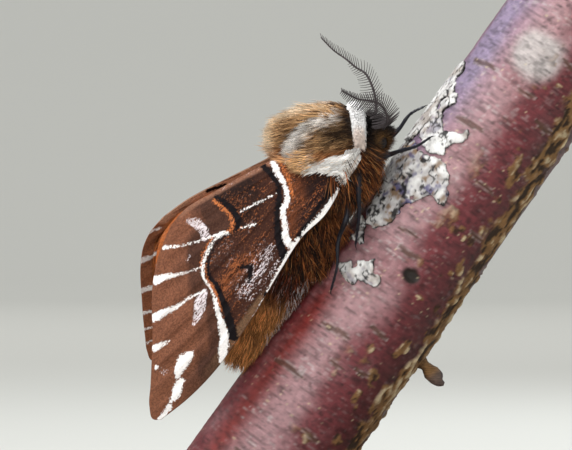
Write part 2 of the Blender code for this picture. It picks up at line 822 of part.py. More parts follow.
def add_antenna(side, holder, look, cutters):
    """A shaft with two rows of rami, which are longest at its middle."""
    name = "antenna_" + side
    path = curve_through(ANTENNA_ROUTES[side])
    steps = 14
    places = [at(*path(k / steps)) for k in range(steps + 1)]
    radii = [ANTENNA_RADIUS * (1 - 0.35 * k / steps) * MM for k in range(steps + 1)]
    antenna = add_object(name, tube(name, places, radii, 6), PARTS, holder, look)
    form = spike((0, 0.5), (1.0, 0.7), (1.0, 0.7))
    dice = random.Random(7)
    rami = []
    for lie, longest in RAMI_ROWS[side]:
        for k in range(RAMI):
            share = 0.2 + 0.77 * k / (RAMI - 1)
            root = at(*path(share))
            along = (at(*path(share + 0.02)) - at(*path(share - 0.02))).normalized()
            aim = (at(*lie).normalized() + along * 0.35).normalized()
            out = aim.cross(along).normalized()
            length = longest * math.sin(math.pi * min(1.0, 0.30 + 0.62 * share)) * MM
            length = free_length(root, aim, length)
            if length > RAMUS_LEAST:
                size = (length, RAMUS_WIDTH, RAMUS_WIDTH)
                rami.append(bent_spike(form, root, aim, out, size, math.radians(12), RAMUS_SINK, dice))
    fuse(antenna, rami)
    cut(antenna, cutters)


def antenna_cutter(side, holder):
    """The antenna's lower shaft and the gap round it."""
    path = curve_through(ANTENNA_ROUTES[side])
    places = [at(*path(k / 20)) for k in range(8)]
    name = "antenna gap " + side
    return add_cutter(name, tube(name, places, [ANTENNA_RADIUS * MM + GAP] * 8, 8), holder)


def leg_mesh(name, grow=0.0):
    """A leg as a tube, or with grow the inner half of the leg and the gap round it."""
    joints, foot = LEGS[name]
    route = curve_through([at(*joint) for joint in joints] + [foot_place(*foot)])
    steps = LEG_STEPS // 2 if grow else LEG_STEPS
    shares = [k / LEG_STEPS for k in range(steps + 1)]
    radii = [spread(LEG_RADII, share) * MM + grow for share in shares]
    return tube(name, [Vector(route(share)) for share in shares], radii, 8)


def add_eye(side, holder, look):
    """An eye, and the cutter for its socket, which this returns."""
    place = (EYE_PLACE[0], EYE_PLACE[1], EYE_PLACE[2] * (1 if side == "right" else -1))
    name = "eye_" + side
    add_object(name, ball(name, place, [EYE_RADIUS] * 3, 2), PARTS, holder, look)
    room = 1.06 * (EYE_RADIUS + GAP / MM)
    return add_cutter("eye gap " + side, ball("eye gap " + side, place, [room] * 3, 2), holder)


def holder(name, place):
    empty = bpy.data.objects.new(name, None)
    PARTS.objects.link(empty)
    empty.matrix_world = place
    return empty


def add_moth(branch_gap):
    scales = material("wing scales", SCALE_BROWN, 0.7)
    tan = material("tan fur", FUR_TAN, 0.9)
    rust = material("rust fur", FUR_RUST, 0.9)
    black = material("leg chitin", LEG_BLACK, 0.35)
    moth = holder("moth", MOTH)
    bpy.context.view_layer.update()

    flight_gaps = []
    eye_gaps = []
    antenna_gaps = []
    for side in ("right", "left"):
        wings = Wings(side)
        for kind, plan in zip(("forewing_", "hindwing_"), PLANS[side]):
            add_wing(wings, plan, kind + side, moth, scales)
            flight_gaps.append(wing_cutter(wings, plan, kind + side + " gap", moth))
        eye_gaps.append(add_eye(side, moth, black))
        antenna_gaps.append(antenna_cutter(side, moth))
    for side in ("right", "left"):
        add_antenna(side, moth, black, eye_gaps)

    leg_gaps = []
    for name in LEGS:
        add_object(name, leg_mesh(name), PARTS, moth, black)
        leg_gaps.append(add_cutter(name + " gap", leg_mesh(name, GAP), moth))

    head_room = [HEAD_RADIUS + GAP / MM] * 3
    head_gap = add_cutter("head gap", ball("head gap", HEAD_MIDDLE, head_room), moth)
    abdomen_gap = add_cutter("abdomen gap", abdomen_tube("abdomen gap", 10, ABDOMEN_COAT), moth)
    body_gaps = [branch_gap] + flight_gaps + leg_gaps
    add_head(moth, tan, eye_gaps + antenna_gaps + [branch_gap])
    add_thorax(moth, tan, [head_gap, abdomen_gap] + body_gaps + antenna_gaps + eye_gaps)
    add_abdomen(moth, rust, body_gaps)


def main():
    perch = holder("perch", BRANCH)
    clearance = BARK_RELIEF + GAP + 0.12 * MM
    branch_gap = add_cutter("branch gap", branch_mesh("branch gap", clearance), perch)
    bpy.context.view_layer.update()
    add_base(material("walnut", WALNUT, 0.4))
    add_rod(material("brass", BRASS, 0.25, 1.0), branch_gap)
    add_branch(perch, material("bark", BARK_RED, 0.55))
    add_moth(branch_gap)


main()
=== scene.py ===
# Looks of the kentish glory moth on its perch and stand. Metres; places on the moth are in
# millimetres as (forward, up, right), on a wing as (span, chord), on the branch as (along, degrees).
import math
from contextlib import contextmanager

import bpy
import numpy as np
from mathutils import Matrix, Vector


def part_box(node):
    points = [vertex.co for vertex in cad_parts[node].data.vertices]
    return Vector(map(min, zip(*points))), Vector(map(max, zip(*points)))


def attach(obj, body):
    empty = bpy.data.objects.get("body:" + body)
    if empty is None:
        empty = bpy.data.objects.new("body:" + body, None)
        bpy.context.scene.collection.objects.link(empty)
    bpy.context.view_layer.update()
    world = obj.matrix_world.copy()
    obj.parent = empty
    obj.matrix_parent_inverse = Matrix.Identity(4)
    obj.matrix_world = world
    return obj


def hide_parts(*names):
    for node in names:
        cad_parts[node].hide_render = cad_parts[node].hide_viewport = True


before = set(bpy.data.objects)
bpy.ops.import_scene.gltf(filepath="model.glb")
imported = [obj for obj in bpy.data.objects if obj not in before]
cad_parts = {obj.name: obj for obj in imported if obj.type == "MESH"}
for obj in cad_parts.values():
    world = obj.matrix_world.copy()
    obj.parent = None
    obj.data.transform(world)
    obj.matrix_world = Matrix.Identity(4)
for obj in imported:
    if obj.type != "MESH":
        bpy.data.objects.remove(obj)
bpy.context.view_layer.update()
mm = 0.001

# The same frames as the solids
mothFrame = {"origin": (-4.93, -4.4, 48.57), "slope": 58.5, "yaw": 12.5, "roll": 15}
branchFrame = {"origin": (-11.8, 0, 20), "slope": 55, "start": -7, "end": 54}
branchRadii = (7.3, 6.85)


def mothAxes():
    slope, yaw, roll = (math.radians(mothFrame[key]) for key in ("slope", "yaw", "roll"))
    forward = np.array((math.cos(slope) * math.cos(yaw), -math.sin(yaw), math.sin(slope) * math.cos(yaw)))
    back = np.array((-math.sin(slope), 0, math.cos(slope)))
    up = back * math.cos(roll) + np.cross(forward, back) * math.sin(roll)
    return np.array((forward, up, -np.cross(up, forward)))


mothTurn = mothAxes()


def fromMoth(points):  # (forward, up, right) in mm to metres in the shared frame
    return (np.array(mothFrame["origin"]) + np.asarray(points, float) @ mothTurn) * mm


def toMoth(points):  # and back again
    return (np.asarray(points) / mm - np.array(mothFrame["origin"])) @ mothTurn.T


def branchAxes():  # up the branch, and square to it in the upright plane
    slope = math.radians(branchFrame["slope"])
    return np.array((math.cos(slope), 0, math.sin(slope))), np.array((math.sin(slope), 0, -math.cos(slope)))


def branchRadius(along):
    share = (along - branchFrame["start"]) / (branchFrame["end"] - branchFrame["start"])
    return branchRadii[0] + (branchRadii[1] - branchRadii[0]) * share


def fromBranch(along, angle, reach):  # mm up the branch, degrees round it, mm from its axis
    axis, across = branchAxes()
    turn = np.radians(180 + np.asarray(angle, float))
    spot = np.multiply.outer(np.asarray(along, float), axis)
    spot = spot + np.multiply.outer(np.cos(turn) * reach, across)
    spot = spot + np.multiply.outer(np.sin(turn) * reach, np.array((0.0, 1.0, 0.0)))
    return (np.array(branchFrame["origin"]) + spot) * mm


def curveThrough(points):  # a smooth curve through the points, as a function of shares
    points = np.array(points, float)
    steps = np.linalg.norm(np.diff(points, axis=0), axis=1)
    knots = np.concatenate([[0], np.cumsum(steps)]) / steps.sum()
    slopes = np.gradient(points, knots, axis=0)

    def place(share):
        share = np.atleast_1d(np.asarray(share, float))
        k = np.clip(np.searchsorted(knots, share, side="right") - 1, 0, len(steps) - 1)
        span = (knots[k + 1] - knots[k])[:, None]
        t = (share - knots[k])[:, None] / span
        start = (2 * t**3 - 3 * t**2 + 1) * points[k] + (t**3 - 2 * t**2 + t) * span * slopes[k]
        end = (3 * t**2 - 2 * t**3) * points[k + 1] + (t**3 - t**2) * span * slopes[k + 1]
        return start + end

    return place


def unit(vectors):  # each row at length one
    return vectors / np.linalg.norm(vectors, axis=1)[:, None]


def spread01(values, shares):  # values set evenly along something, read at shares of it
    return np.interp(shares, np.linspace(0, 1, len(values)), values)


def smooth(low, high, values):  # 0 to 1 between two values
    t = np.clip((np.asarray(values, float) - low) / (high - low), 0, 1)
    return t * t * (3 - 2 * t)


def smoothNoise(points, size, seed=0):  # lattice noise between 0 and 1
    points = np.asarray(points, float) / size + seed * 7.31
    cell = np.floor(points).astype(np.int64)
    part = points - cell
    part = part * part * (3 - 2 * part)
    total = np.zeros(len(points))
    for corner in range(8):
        step = np.array([corner & 1, corner >> 1 & 1, corner >> 2 & 1])
        at = (cell + step) & 0xFFFFF
        mixed = (at[:, 0] * 73856093 ^ at[:, 1] * 19349663 ^ at[:, 2] * 83492791) + seed * 97
        mixed = (mixed ^ (mixed >> 13)) * 1274126177 & 0x7FFFFFFF
        weight = np.prod(np.where(step == 1, part, 1 - part), axis=1)
        total += weight * (mixed % 65536) / 65536
    return total


def layeredNoise(points, size, seed=0, layers=3):
    total = sum(smoothNoise(points, size / 2**k, seed + k) / 2**k for k in range(layers))
    return total / sum(0.5**k for k in range(layers))


def linear(colour):  # 0 to 255 as seen on a screen, to linear light
    value = np.asarray(colour, float) / 255
    return np.where(value <= 0.04045, value / 12.92, ((value + 0.055) / 1.055) ** 2.4)


def blendColours(under, over, share):
    share = np.asarray(share, float)[:, None]
    return under * (1 - share) + np.asarray(over, float) * share


def plain(tone, count):
    return np.repeat(tone[None], count, 0)


def layered(colour, tints, *layers):  # tints laid over one another, each as its name and its share
    for name, share in layers:
        colour = blendColours(colour, tints[name], share)
    return colour


def linearTints(tints):
    return {key: linear(value) for key, value in tints.items()}


def strokeDistance(spots, curve, widths):  # mm inside a brush stroke, negative outside it
    shares = np.linspace(0, 1, 12 * len(curve))
    if len(curve) > 2:
        line = curveThrough(curve)(shares)
    else:
        line = np.array(curve[0]) + np.outer(shares, np.subtract(curve[1], curve[0]))
    best = np.full(len(spots), -99.0)
    for point, reach in zip(line, spread01(widths, shares) / 2):
        best = np.maximum(best, reach - np.hypot(*(spots - point).T))
    return best


def sideOf(spots, curve):  # signed mm from a line, positive on its left as it runs
    line = curveThrough(curve)(np.linspace(0, 1, 12 * len(curve)))
    steps = np.diff(line, axis=0)
    middles = (line[1:] + line[:-1]) / 2
    nearest = np.zeros(len(spots), int)
    best = np.full(len(spots), 1e9)
    for k, middle in enumerate(middles):
        reach = np.hypot(*(spots - middle).T)
        nearest[reach < best] = k
        best = np.minimum(best, reach)
    offset = spots - middles[nearest]
    turn = steps[nearest][:, 0] * offset[:, 1] - steps[nearest][:, 1] * offset[:, 0]
    return best * np.sign(turn)


def insideOutline(spots, outline):  # signed mm from a closed outline, positive inside it
    outline = np.array(outline, float)
    best = np.full(len(spots), 1e9)
    inside = np.zeros(len(spots), bool)
    for start, end in zip(outline, np.roll(outline, -1, axis=0)):
        step = end - start
        share = np.clip(((spots - start) @ step) / (step @ step), 0, 1)
        best = np.minimum(best, np.hypot(*(spots - start - share[:, None] * step).T))
        crosses = (start[1] > spots[:, 1]) != (end[1] > spots[:, 1])
        rise = step[1] if abs(step[1]) > 1e-9 else 1e-9
        inside ^= crosses & (spots[:, 0] < start[0] + (spots[:, 1] - start[1]) / rise * step[0])
    return np.where(inside, best, -best)


# Meshes from arrays, and their finishes
def meshFrom(name, points, faces, look):
    count, corners = faces.shape
    mesh = bpy.data.meshes.new(name)
    mesh.vertices.add(len(points))
    mesh.vertices.foreach_set("co", np.asarray(points, np.float32).reshape(-1))
    mesh.loops.add(count * corners)
    mesh.loops.foreach_set("vertex_index", faces.reshape(-1).astype(np.int32))
    mesh.polygons.add(count)
    mesh.polygons.foreach_set("loop_start", np.arange(0, count * corners, corners, dtype=np.int32))
    mesh.polygons.foreach_set("use_smooth", np.full(count, True))
    mesh.update(calc_edges=True)
    mesh.validate()
    piece = bpy.data.objects.new(name, mesh)
    bpy.context.scene.collection.objects.link(piece)
    mesh.materials.append(look)
    return piece


def giveColours(mesh, name, colours):
    layer = mesh.attributes.new(name, "FLOAT_COLOR", "POINT")
    full = np.ones((len(mesh.vertices), 4), np.float32)
    full[:, : colours.shape[1]] = colours
    layer.data.foreach_set("color", full.reshape(-1))


def giveValues(mesh, name, values):
    layer = mesh.attributes.new(name, "FLOAT", "POINT")
    layer.data.foreach_set("value", np.asarray(values, np.float32))


def giveMap(mesh, name, spots):  # a UV map from one place for each vertex
    layer = mesh.uv_layers.new(name=name)
    corners = np.empty(len(mesh.loops), np.int32)
    mesh.loops.foreach_get("vertex_index", corners)
    layer.data.foreach_set("uv", np.asarray(spots, np.float32)[corners].reshape(-1))


def pointsOf(mesh):
    points = np.empty(len(mesh.vertices) * 3, np.float32)
    mesh.vertices.foreach_get("co", points)
    return points.reshape(-1, 3).astype(float)


def sweep(path, radii, sides, flat=1.0, guide=(0.31, 0.17, 0.93)):  # a closed tube along places
    path = np.asarray(path, float)
    steps = unit(np.gradient(path, axis=0))
    first = unit(np.cross(steps, guide))
    second = np.cross(steps, first)
    turns = np.arange(sides) * 2 * math.pi / sides
    ring = (first[:, None] * np.cos(turns)[None, :, None]
            + flat * second[:, None] * np.sin(turns)[None, :, None])
    points = (path[:, None] + ring * np.asarray(radii)[:, None, None]).reshape(-1, 3)
    points = np.concatenate([points, path[:1], path[-1:]])
    faces = []
    for k in range(len(path) - 1):
        for j in range(sides):
            a, b = k * sides + j, k * sides + (j + 1) % sides
            faces += [(a, b, b + sides), (a, b + sides, a + sides)]
    foot, tip = len(points) - 2, len(points) - 1
    last = (len(path) - 1) * sides
    for j in range(sides):
        faces.append((foot, (j + 1) % sides, j))
        faces.append((tip, last + j, last + (j + 1) % sides))
    return points, np.array(faces)


def joined(parts):
    points, faces, base = [], [], 0
    for place, face in parts:
        points.append(place)
        faces.append(face + base)
        base += len(place)
    return np.concatenate(points), np.concatenate(faces)


def outwardFaces(points, faces):  # turned round where the whole encloses less than nothing
    corners = points[faces]
    volume = np.einsum("ij,ij->i", corners[:, 0], np.cross(corners[:, 1], corners[:, 2])).sum()
    return faces if volume > 0 else faces[:, ::-1]


def closedSheet(upper, lower, cells):  # both sides of a sheet and the rim between them
    count = len(upper)
    edges = np.stack([cells.reshape(-1), np.roll(cells, -1, axis=1).reshape(-1)], axis=1)
    keys = {tuple(edge) for edge in edges.tolist()}
    rim = np.array([edge for edge in keys if edge[::-1] not in keys])
    sides = np.stack([rim[:, 1], rim[:, 0], rim[:, 0] + count, rim[:, 1] + count], axis=1)
    quads = np.concatenate([cells, cells[:, ::-1] + count, sides])
    corners = upper[cells]
    normal = np.cross(corners[:, 1] - corners[:, 0], corners[:, 2] - corners[:, 0])
    if np.sum(normal * (upper - lower)[cells[:, 0]]) < 0:
        quads = quads[:, ::-1]
    return np.concatenate([upper, lower]), quads


@contextmanager
def editMode(action="SELECT"):
    bpy.ops.object.mode_set(mode="EDIT")
    bpy.ops.mesh.select_all(action=action)
    yield
    bpy.ops.object.mode_set(mode="OBJECT")


def named(name):  # the shape just added, under its own name
    piece = bpy.context.object
    piece.name = piece.data.name = name
    return piece


def selectNone():
    bpy.ops.object.select_all(action="DESELECT")


def applied(piece, kind, **settings):
    modifier = piece.modifiers.new(kind.lower(), kind)
    for key, value in settings.items():
        setattr(modifier, key, value)
    bpy.ops.object.modifier_apply(modifier=modifier.name)


def shadeSmooth(edgeAngle=None):  # edges sharper than the angle, in degrees, stay sharp
    bpy.ops.object.shade_smooth()
    if edgeAngle:
        bpy.ops.object.shade_smooth_by_angle(angle=math.radians(edgeAngle))


def finishPiece(piece, slotName, *replaced):
    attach(piece, "root")
    if replaced:
        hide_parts(*replaced)
    piece.select_set(False)
    return piece


def addNode(tree, kind, settings=None, **inputs):
    node = tree.nodes.new("ShaderNode" + kind)
    for key, value in (settings or {}).items():
        setattr(node, key, value)
    for key, value in inputs.items():
        setSocket(tree, node.inputs[key.replace("_", " ")], value)
    return node


def setSocket(tree, socket, value):
    if isinstance(value, bpy.types.NodeSocket):
        tree.links.new(value, socket)
    else:
        socket.default_value = value


def mathNode(tree, operation, *values, clamp=False):
    node = addNode(tree, "Math", {"operation": operation, "use_clamp": clamp})
    for socket, value in zip(node.inputs, values):
        setSocket(tree, socket, value)
    return node.outputs[0]


def mixColour(tree, share, first, second, mode="MIX"):
    node = tree.nodes.new("ShaderNodeMix")
    node.data_type = "RGBA"
    node.blend_type = mode
    for socket, value in zip((node.inputs[0], node.inputs[6], node.inputs[7]), (share, first, second)):
        setSocket(tree, socket, value)
    return node.outputs[2]


def rampNode(tree, value, low, high, first=0.0, second=1.0):
    return addNode(tree, "MapRange", {"clamp": True}, Value=value,
                   From_Min=low, From_Max=high, To_Min=first, To_Max=second).outputs[0]


def readLayer(tree, name, output="Color"):  # what is painted on the mesh
    return addNode(tree, "Attribute", {"attribute_name": name}).outputs[output]


def greyOf(tree, shade):
    return addNode(tree, "CombineColor", Red=shade, Green=shade, Blue=shade).outputs[0]


def shadeTone(tree, shader, tone, shade):  # a tone made lighter and darker by a grey shade
    colour = mixColour(tree, 1.0, tone, greyOf(tree, shade), "MULTIPLY")
    tree.links.new(colour, shader.inputs["Base Color"])


def addBump(tree, shader, height, strength, depth):  # depth in mm
    bump = addNode(tree, "Bump", Height=height, Strength=strength, Distance=depth * mm)
    tree.links.new(bump.outputs[0], shader.inputs["Normal"])


def opaque(tone):  # a tint as seen on a screen, as a colour socket takes it
    return (*linear(tone), 1)


def newLook(name, **settings):
    look = bpy.data.materials.new(name)
    look.use_nodes = True
    shader = look.node_tree.nodes["Principled BSDF"]
    for key, value in settings.items():
        shader.inputs[key.replace("_", " ")].default_value = value
    return look, look.node_tree, shader


def newGroup(name, inputs, outputs):  # a node group that puts out colours, masks and values only
    group = bpy.data.node_groups.new(name, "ShaderNodeTree")
    for label, kind, value in inputs:
        socket = group.interface.new_socket(name=label, in_out="INPUT", socket_type="NodeSocket" + kind)
        if value is not None:
            socket.default_value = value
    for label, kind in outputs:
        group.interface.new_socket(name=label, in_out="OUTPUT", socket_type="NodeSocket" + kind)
    return group, group.nodes.new("NodeGroupInput"), group.nodes.new("NodeGroupOutput")


def mottleGroup():  # a soft two-scale mottle and its bump height, from Object coordinates
    group, source, sink = newGroup(
        "mottle",
        [("Vector", "Vector", None), ("Size", "Float", 1000.0), ("Contrast", "Float", 1.0)],
        [("Mask", "Float"), ("Height", "Float")],
    )
    size = source.outputs["Size"]
    broad = addNode(group, "TexNoise", Vector=source.outputs["Vector"], Scale=size, Detail=5.0)
    fine = addNode(group, "TexNoise", Vector=source.outputs["Vector"], Detail=3.0,
                   Scale=mathNode(group, "MULTIPLY", size, 6.0))
    mixed = mathNode(group, "MULTIPLY_ADD", fine.outputs["Fac"], 0.35, broad.outputs["Fac"])
    centred = mathNode(group, "MULTIPLY", mathNode(group, "SUBTRACT", mixed, 0.675),
                       source.outputs["Contrast"])
    mask = mathNode(group, "ADD", centred, 0.5, clamp=True)
    group.links.new(mask, sink.inputs["Mask"])
    group.links.new(fine.outputs["Fac"], sink.inputs["Height"])
    return group


mottle = mottleGroup()


def objectPlace(tree):
    return addNode(tree, "TexCoord").outputs["Object"]


def addMottle(tree, size, contrast):
    settings = {"node_tree": mottle}
    node = addNode(tree, "Group", settings, Vector=objectPlace(tree), Size=size, Contrast=contrast)
    return node.outputs["Mask"], node.outputs["Height"]


print("frame loaded:", len(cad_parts), "nodes")

# Wings
wings = {
    "hinge": (-0.15, 1.63, 4.2),
    "tornus": (-14.0, 13.4, 1.4),
    "apex": {"right": (-29.6, 5.5, 10.6), "left": (-30.0, 4.6, 9.1)},
    "camber": 0.9,
    "droop": 1.3,
    "thickness": (0.10, 0.36),
    "rim": 1.2,
    "veinWidth": 0.16,
    "veinHeight": 0.10,
    "bakeSize": 34,  # mm of wing in the whole OFBake map, and its two faces' corners there
    "bakeCorners": ((0.03, 0.08), (0.03, 0.58)),
    "mapGap": (40, 0),
}
forewing = {
    "costa": (
        (-0.3, -0.7), (1.6, -1.4), (4.3, -1.75), (7.2, -1.25), (11.2, -1.4), (16, -1.8), (20, -1.95),
        (23.5, -1.85), (27, -1.3), (30.3, -0.35),
    ),
    "inner": ((0.1, 2.4), (1.6, 4.9), (4.7, 6.85), (8.6, 8.9), (11.9, 10.5), (13.9, 10.75)),
    "termen": (
        (30.3, -0.35), (30.75, 0.3), (29.9, 1.4), (28.2, 2.5), (24.25, 5.2), (19.6, 8.7), (17.5, 9.75),
        (15.6, 10.35), (13.9, 10.75),
    ),
    "veins": (0.07, 0.17, 0.27, 0.37, 0.50, 0.66, 0.85),
    "cells": (110, 280),
    "height": 0.0,
}
hindwing = {
    "costa": ((1.6, 1.2), (5, 0.9), (10, 0.6), (14.5, 1.0), (18.5, 2.4)),
    "inner": ((1.4, 3.0), (3.0, 5.2), (6.5, 7.8), (9.8, 9.9), (12.6, 11.1)),
    "termen": (
        (18.5, 2.4), (20.2, 4.0), (20.5, 6.2), (19.4, 8.4), (17.6, 10.2), (15.2, 11.2), (12.6, 11.1),
    ),
    "veins": (0.15, 0.30, 0.45, 0.60, 0.78),
    "cells": (60, 130),
    "height": -1.0,
}
farForewing = forewing | {  # the far wings are held turned a little in their plane
    "costa": (
        (-0.3, -0.7), (1.6, -1.5), (4.3, -1.95), (7.2, -1.6), (11.2, -1.9), (16, -2.4), (20, -2.7),
        (23.5, -2.65), (27, -2.3), (30.4, -1.6),
    ),
    "inner": ((0.1, 2.2), (1.9, 3.1), (4.4, 4.5), (8.1, 7.2), (11.9, 10.15), (14.3, 11.3)),
    "termen": (
        (30.4, -1.6), (30.85, -0.9), (30.2, 0.15), (28.6, 1.7), (24.7, 5.3), (20.3, 9.25),
        (18.3, 10.65), (16.4, 11.35), (14.3, 11.3),
    ),
}
farHindwing = hindwing | {
    "costa": ((1.6, 1.2), (5, 0.8), (10, 0.4), (14.5, 0.6), (18.5, 1.9)),
    "inner": ((1.4, 2.4), (3.0, 3.4), (6.5, 5.8), (9.8, 8.3), (12.6, 10.2)),
    "termen": (
        (18.5, 1.9), (20.3, 3.3), (20.9, 5.5), (20.0, 7.9), (18.1, 9.7), (15.4, 10.6), (12.6, 10.2),
    ),
}


def wingPlane(side):
    hinge = np.array(wings["hinge"])
    span = np.array(wings["apex"][side]) - hinge
    span /= np.linalg.norm(span)
    tornus = np.array(wings["tornus"]) - hinge
    chord = tornus - span * (tornus @ span)
    chord /= np.linalg.norm(chord)
    outward = np.cross(span, chord)
    return hinge, span, chord, outward if outward[2] > 0 else -outward


def onWing(side, spots, height):  # (span, chord) and mm over the middle surface, to the shared frame
    hinge, span, chord, outward = wingPlane(side)
    s, c = spots[:, 0], spots[:, 1]
    belly = wings["camber"] * (1 - ((c - 3.5) / 7) ** 2)
    droop = wings["droop"] * np.maximum(0, 1 - s / 7) ** 2 * np.maximum(0, 1 - (c + 1.5) / 5)
    place = hinge + np.outer(s, span) + np.outer(c, chord) + np.outer(belly - droop + height, outward)
    place[:, 2] *= 1 if side == "right" else -1
    return fromMoth(place)


def wingSpots(plan, across, out):  # the outline's blend of its edges, as in the solids
    costa, inner, termen = (curveThrough(plan[edge]) for edge in ("costa", "inner", "termen"))
    a = across[:, None]
    sides = (1 - a) * costa(out) + a * inner(out)
    root = (1 - a) * costa(0) + a * inner(0)
    rim = (1 - a) * costa(1) + a * inner(1)
    return sides + out[:, None] * (termen(across) - rim)


foreMarks = {
    "antemedial": (
        (3.1, 5.9), (3.75, 4.6), (4.25, 3.4), (4.85, 2.6), (6.5, 2.05), (7.8, 0.85), (8.9, -0.25),
        (9.5, -1.1),
    ),
    "outerLine": (
        (9.4, 8.4), (9.5, 6.9), (9.7, 5.7), (10.4, 5.0), (11.3, 5.2), (12.4, 5.8), (13.5, 5.8),
        (14.7, 5.6), (15.7, 5.1), (16.4, 4.3), (16.8, 3.2), (17.4, 2.3), (18.2, 1.3), (19.0, 0.3),
        (19.8, -0.6), (20.9, -1.4), (22.2, -1.9),
    ),
    "white": (  # strokes: a line as (span, chord), and the widths along it
        (
            (
                (2.95, 5.5), (3.6, 4.25), (4.1, 3.15), (4.85, 2.3), (6.4, 1.7), (7.4, 0.75),
                (8.45, -0.2), (8.7, -1.2),
            ),
            (0.62, 0.58, 0.38, 0.5, 0.62, 0.5, 0.7, 0.8),
        ),
        (
            (
                (11.3, 5.2), (12.4, 5.8), (13.5, 5.8), (14.7, 5.6), (15.7, 5.1), (16.4, 4.3),
                (16.8, 3.2), (17.4, 2.3),
            ),
            (0.28, 0.22, 0.26, 0.28, 0.30, 0.24, 0.14, 0.3),
        ),
        (
            ((17.4, 2.3), (18.2, 1.3), (19.0, 0.3), (19.8, -0.6), (20.9, -1.3), (22.0, -1.9)),
            (0.3, 0.45, 0.62, 0.85, 0.9, 0.6),
        ),
        (
            ((16.2, 9.9), (14.9, 8.3), (13.6, 7.2), (12.2, 6.1), (11.3, 5.4)),
            (0.42, 0.16, 0.14, 0.22, 0.22),
        ),
        (
            ((19.3, 8.5), (18.6, 7.9), (17.9, 7.2), (16.4, 5.9), (15.6, 5.3)),
            (0.95, 0.55, 0.22, 0.12, 0.1),
        ),
        (
            ((22.4, 6.3), (21.4, 5.7), (20.4, 5.1), (18.8, 4.5), (17.3, 3.6)),
            (0.95, 0.55, 0.28, 0.2, 0.18),
        ),
        (((24.9, 4.4), (23.5, 3.6)), (0.7, 0.12)),
        (((26.4, 3.1), (26.2, 3.0)), (0.35, 0.2)),
        (((23.3, 1.0), (24.1, 1.2), (25.0, 1.1), (26.0, 0.8)), (0.7, 1.3, 1.0, 0.25)),
        (((26.0, 0.2), (26.5, 0.2), (27.3, -0.1), (28.4, -0.15)), (0.6, 0.95, 0.7, 0.2)),
        (((28.8, -0.3), (29.5, -0.3), (30.4, -0.25)), (0.5, 0.4, 0.5)),
        (((1.3, -1.4), (4.2, -1.65), (6.9, -1.3)), (0.5, 0.72, 0.66)),
        (((7.9, -1.3), (10.5, -1.5), (13.5, -1.8)), (0.9, 0.85, 0.7)),
        (((14.8, -2.0), (16.5, -2.05)), (0.6, 0.42)),
        (((5.3, 3.4), (8.7, 5.3)), (0.10, 0.15)),
        (((9.0, 3.3), (10.1, 4.3)), (0.22, 0.06)),
    ),
    "black": (
        (
            (
                (3.75, 6.3), (4.1, 4.7), (4.5, 3.75), (5.6, 2.8), (6.8, 2.2), (8.05, 1.2), (9.2, 0.1),
                (10.1, -1.1),
            ),
            (0.62, 0.5, 0.45, 0.62, 0.45, 0.7, 0.8, 0.9),
        ),
        (((9.0, 8.5), (9.0, 7.1), (9.2, 5.9), (9.8, 4.9), (10.6, 4.6)), (0.35, 0.5, 0.6, 0.65, 0.3)),
        (
            ((10.6, 4.7), (12.5, 5.4), (13.5, 5.4), (14.3, 5.2), (15.4, 4.6), (16.0, 3.8)),
            (0.15, 0.1, 0.12, 0.2, 0.3, 0.35),
        ),
        (
            ((16.0, 3.8), (16.2, 2.9), (16.8, 1.9), (17.5, 0.8), (18.4, -0.3), (19.4, -1.4)),
            (0.35, 0.55, 0.65, 0.75, 0.9, 0.95),
        ),
        (((13.5, 2.15), (13.05, 1.65), (12.65, 1.2)), (0.3, 0.42, 0.46)),
        (((12.65, 1.2), (13.3, 0.85), (14.0, 0.4)), (0.46, 0.44, 0.3)),
        (((7.45, -2.0), (7.4, -0.9)), (0.65, 0.35)), (((14.0, -2.4), (14.05, -1.7)), (0.95, 0.6)),
        (((1.6, -0.7), (5.8, -0.9), (7.5, -0.9)), (0.5, 0.3, 0.3)),
    ),
    "orange": (
        (((9.4, 8.4), (9.5, 6.9), (9.8, 5.7), (10.5, 5.1), (11.2, 5.2)), (0.3, 0.3, 0.3, 0.32, 0.2)),
        (((2.4, 5.0), (3.0, 3.9), (3.6, 2.9), (4.6, 1.85)), (0.25, 0.22, 0.2, 0.1)),
        (((12.6, 6.15), (14.6, 5.85), (15.4, 5.5)), (0.06, 0.12, 0.06)),
        (
            ((15.4, 4.95), (16.2, 4.1), (16.6, 3.1), (17.0, 2.3), (17.9, 1.1)),
            (0.10, 0.2, 0.26, 0.3, 0.1),
        ),
        (((10.1, 4.35), (10.9, 4.9)), (0.14, 0.14)),
    ),
}
wingTints = {
    "terminal": (112, 71, 52),
    "terminalDark": (56, 36, 29),
    "median": (58, 33, 24),
    "medianDark": (36, 22, 18),
    "basal": (98, 54, 32),
    "basalDark": (42, 27, 24),
    "costa": (104, 78, 58),
    "margin": (128, 90, 72),
}


def markFields(spots, marks):  # mm inside the white, black and orange strokes
    return np.stack([np.max([strokeDistance(spots, *stroke) for stroke in marks[key]], axis=0)
                     for key in ("white", "black", "orange")], axis=1)


def nearStroke(spots, line, widths, soft):  # 1 inside a stroke, fading to 0 this far outside it
    return np.clip(1 + strokeDistance(spots, line, widths) / soft, 0, 1)


